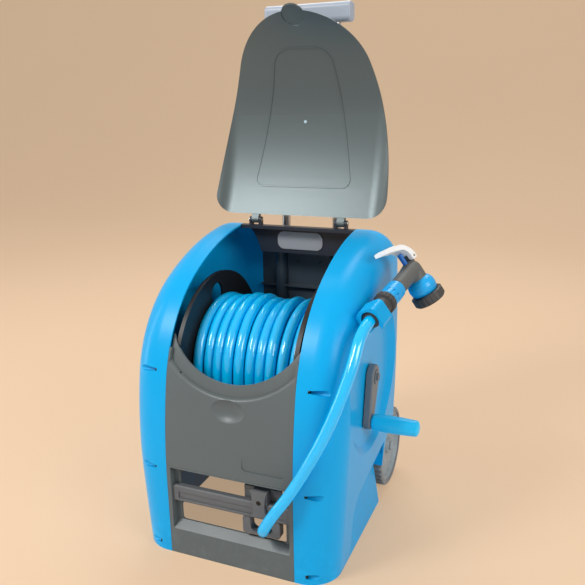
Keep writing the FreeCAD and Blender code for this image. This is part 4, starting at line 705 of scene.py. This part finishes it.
def ridged_layer(rows, columns):
    """Radius over the drum: the crown of the nearest turn, a half circle on the helix of the layer
    below. One row more at each end lies on the drum."""
    x = np.linspace(CORE_X[0] + CORE_INSET, CORE_X[1] - CORE_INSET, rows)[:, None]
    angle = np.linspace(0.0, FULL_TURN, columns, endpoint=False)[None]
    phase = (x + PITCH * angle / FULL_TURN) / PITCH
    off = (phase - np.round(phase)) * PITCH
    crown = np.sqrt(np.maximum(HOSE_RADIUS ** 2 - off ** 2, 0.0))
    edge = np.minimum(x - CORE_X[0], CORE_X[1] - x)
    sink = np.clip(1.0 - edge / HOSE_RADIUS, 0.0, 1.0)
    radius = CORE_RADIUS - HOSE_RADIUS - CORE_SKIN + crown
    radius = radius - HOSE_RADIUS * (1.0 - np.sqrt(1.0 - sink ** 2))
    radius = np.pad(radius, ((1, 1), (0, 0)), constant_values=DRUM_RADIUS)
    x, phase = (np.pad(field, ((1, 1), (0, 0)), mode="edge") for field in (x, phase))
    return about_axis(x, radius, angle), side_by_side(angle * CORE_RADIUS, phase)


layer = ridged_layer(rows=181, columns=120)
on_reel(hose_piece("under_turns", *layer, wrap=CORE_STEP, loop=(0.0, 0.0)), "hose_core")

# %% [markdown]
# ## Floor and light
# The photograph has a plain warm ground and soft light from above the camera. A floor and a wall
# would meet in a line, so a large sheet that curves up behind the cart is floor and backdrop in
# one. The warm ground would tint the cart, so the paper and the world show it only to the eye and
# to mirrors.

# %% Floor sheet
PAPER = linear(224, 193, 160)
NEUTRAL = linear(226, 224, 222)
BLACK = (0.0, 0.0, 0.0, 1.0)
GLOW, PAPER_SCALE, SHADOW_SHADES, GLOW_SHADES = 0.55, 0.8, (0.44, 0.46), (1.0, 1.04)


def sweep_sheet(width, depth, rise, radius, rows=32, columns=9):
    """Floor, a quarter circle and a wall: a profile of three runs carried straight across."""
    bend = np.linspace(0.0, np.pi / 2, rows)
    y = np.concatenate([[-depth], depth - radius + radius * np.sin(bend), [depth]])
    z = np.concatenate([[0.0], radius - radius * np.cos(bend), [rise]])
    x = np.linspace(-width, width, columns)
    return side_by_side(x[None], y[:, None], z[:, None])


def seen_rays(f):
    """One for rays that the eye, a mirror or clear glass sends out, and zero for rays that only
    carry light."""
    kinds = ("Is Camera Ray", "Is Glossy Ray", "Is Transmission Ray")
    eye, mirror, glass = (f.node("ShaderNodeLightPath", out=kind) for kind in kinds)
    return eye + mirror + glass


def paper(f):
    """Pale warm paper. What the eye or a mirror meets glows a little, so that shadows on it stay
    light."""
    seen = seen_rays(f)
    cloud = noise(place(f), PAPER_SCALE)
    shadowed = cloud.between(*shades(PAPER, *SHADOW_SHADES))
    glowing = cloud.between(*shades(PAPER, *GLOW_SHADES))
    return {
        "Base Color": seen.between(NEUTRAL, shadowed),
        "Emission Color": (seen * GLOW).between(BLACK, glowing),
    }


sheet = sweep_sheet(width=6.0, depth=5.0, rise=6.0, radius=2.5)
sheet_map = side_by_side(sheet[..., 0], sheet[..., 1] + sheet[..., 2])
backdrop = grid_piece("backdrop", sheet, sheet_map, around=False, caps=False)
backdrop_paper = finish("backdrop_paper", paper, Roughness=0.85, Emission_Strength=1.0)
backdrop.data.materials.append(backdrop_paper)

# %% [markdown]
# One large lamp would light the cart evenly, but glossy plastic shows the shape of each lamp. So a
# square key lamp high at the left makes the short white glints on the hose. A tall strip at the
# left, a fill lamp at the right and a rim lamp behind even out the other sides, and a small low
# lamp at the right is turned to the foot of the lid. The world fills the shadows.

# %% Lamps and world
HEART, LID_FOOT = (0.0, 0.15, 0.35), (-0.1, 0.33, 0.56)
LAMPS = {
    "key_lamp": ((-1.2, -1.55, 2.3), HEART, (0.8, 0.8), 52.0),
    "left_strip": ((-2.1, -0.3, 0.9), HEART, (0.4, 1.6), 9.0),
    "fill_lamp": ((2.4, -0.6, 1.4), HEART, (0.9, 1.2), 23.0),
    "rim_lamp": ((-0.3, 1.5, 2.4), HEART, (1.6, 1.2), 34.0),
    "low_lamp": ((1.75, -1.05, 1.65), LID_FOOT, (0.4, 0.6), 8.0),
}
AIR, WORLD_SEEN = (0.384, 0.388, 0.40, 1.0), 0.9


def soft_lamp(name, at, look, size, power):
    """Soft lamp of a width and a height that faces a point."""
    data = bpy.data.lights.new(name, "AREA")
    data.shape = "RECTANGLE"
    data.energy, data.size, data.size_y = power, *size
    back = unit(np.subtract(at, look))
    side = unit(np.cross((0.0, 0.0, 1.0), back))
    set_pose(add_object(name, data), np.stack([side, np.cross(back, side), back], axis=1), at)


for name, lamp in LAMPS.items():
    soft_lamp(name, *lamp)
print("lamps:", len(LAMPS))

world = bpy.data.worlds.new("studio")
world.use_nodes = True
sky = seen_rays(Field(world.node_tree)).between(AIR, shade(PAPER, WORLD_SEEN))
world.node_tree.links.new(sky.socket, world.node_tree.nodes["Background"].inputs["Color"])
bpy.context.scene.world = world
bpy.context.scene.view_settings.view_transform = "Standard"

# %% [markdown] The new surfaces lie where the plain solids of the hose were, so the cart should
# be no larger than before.
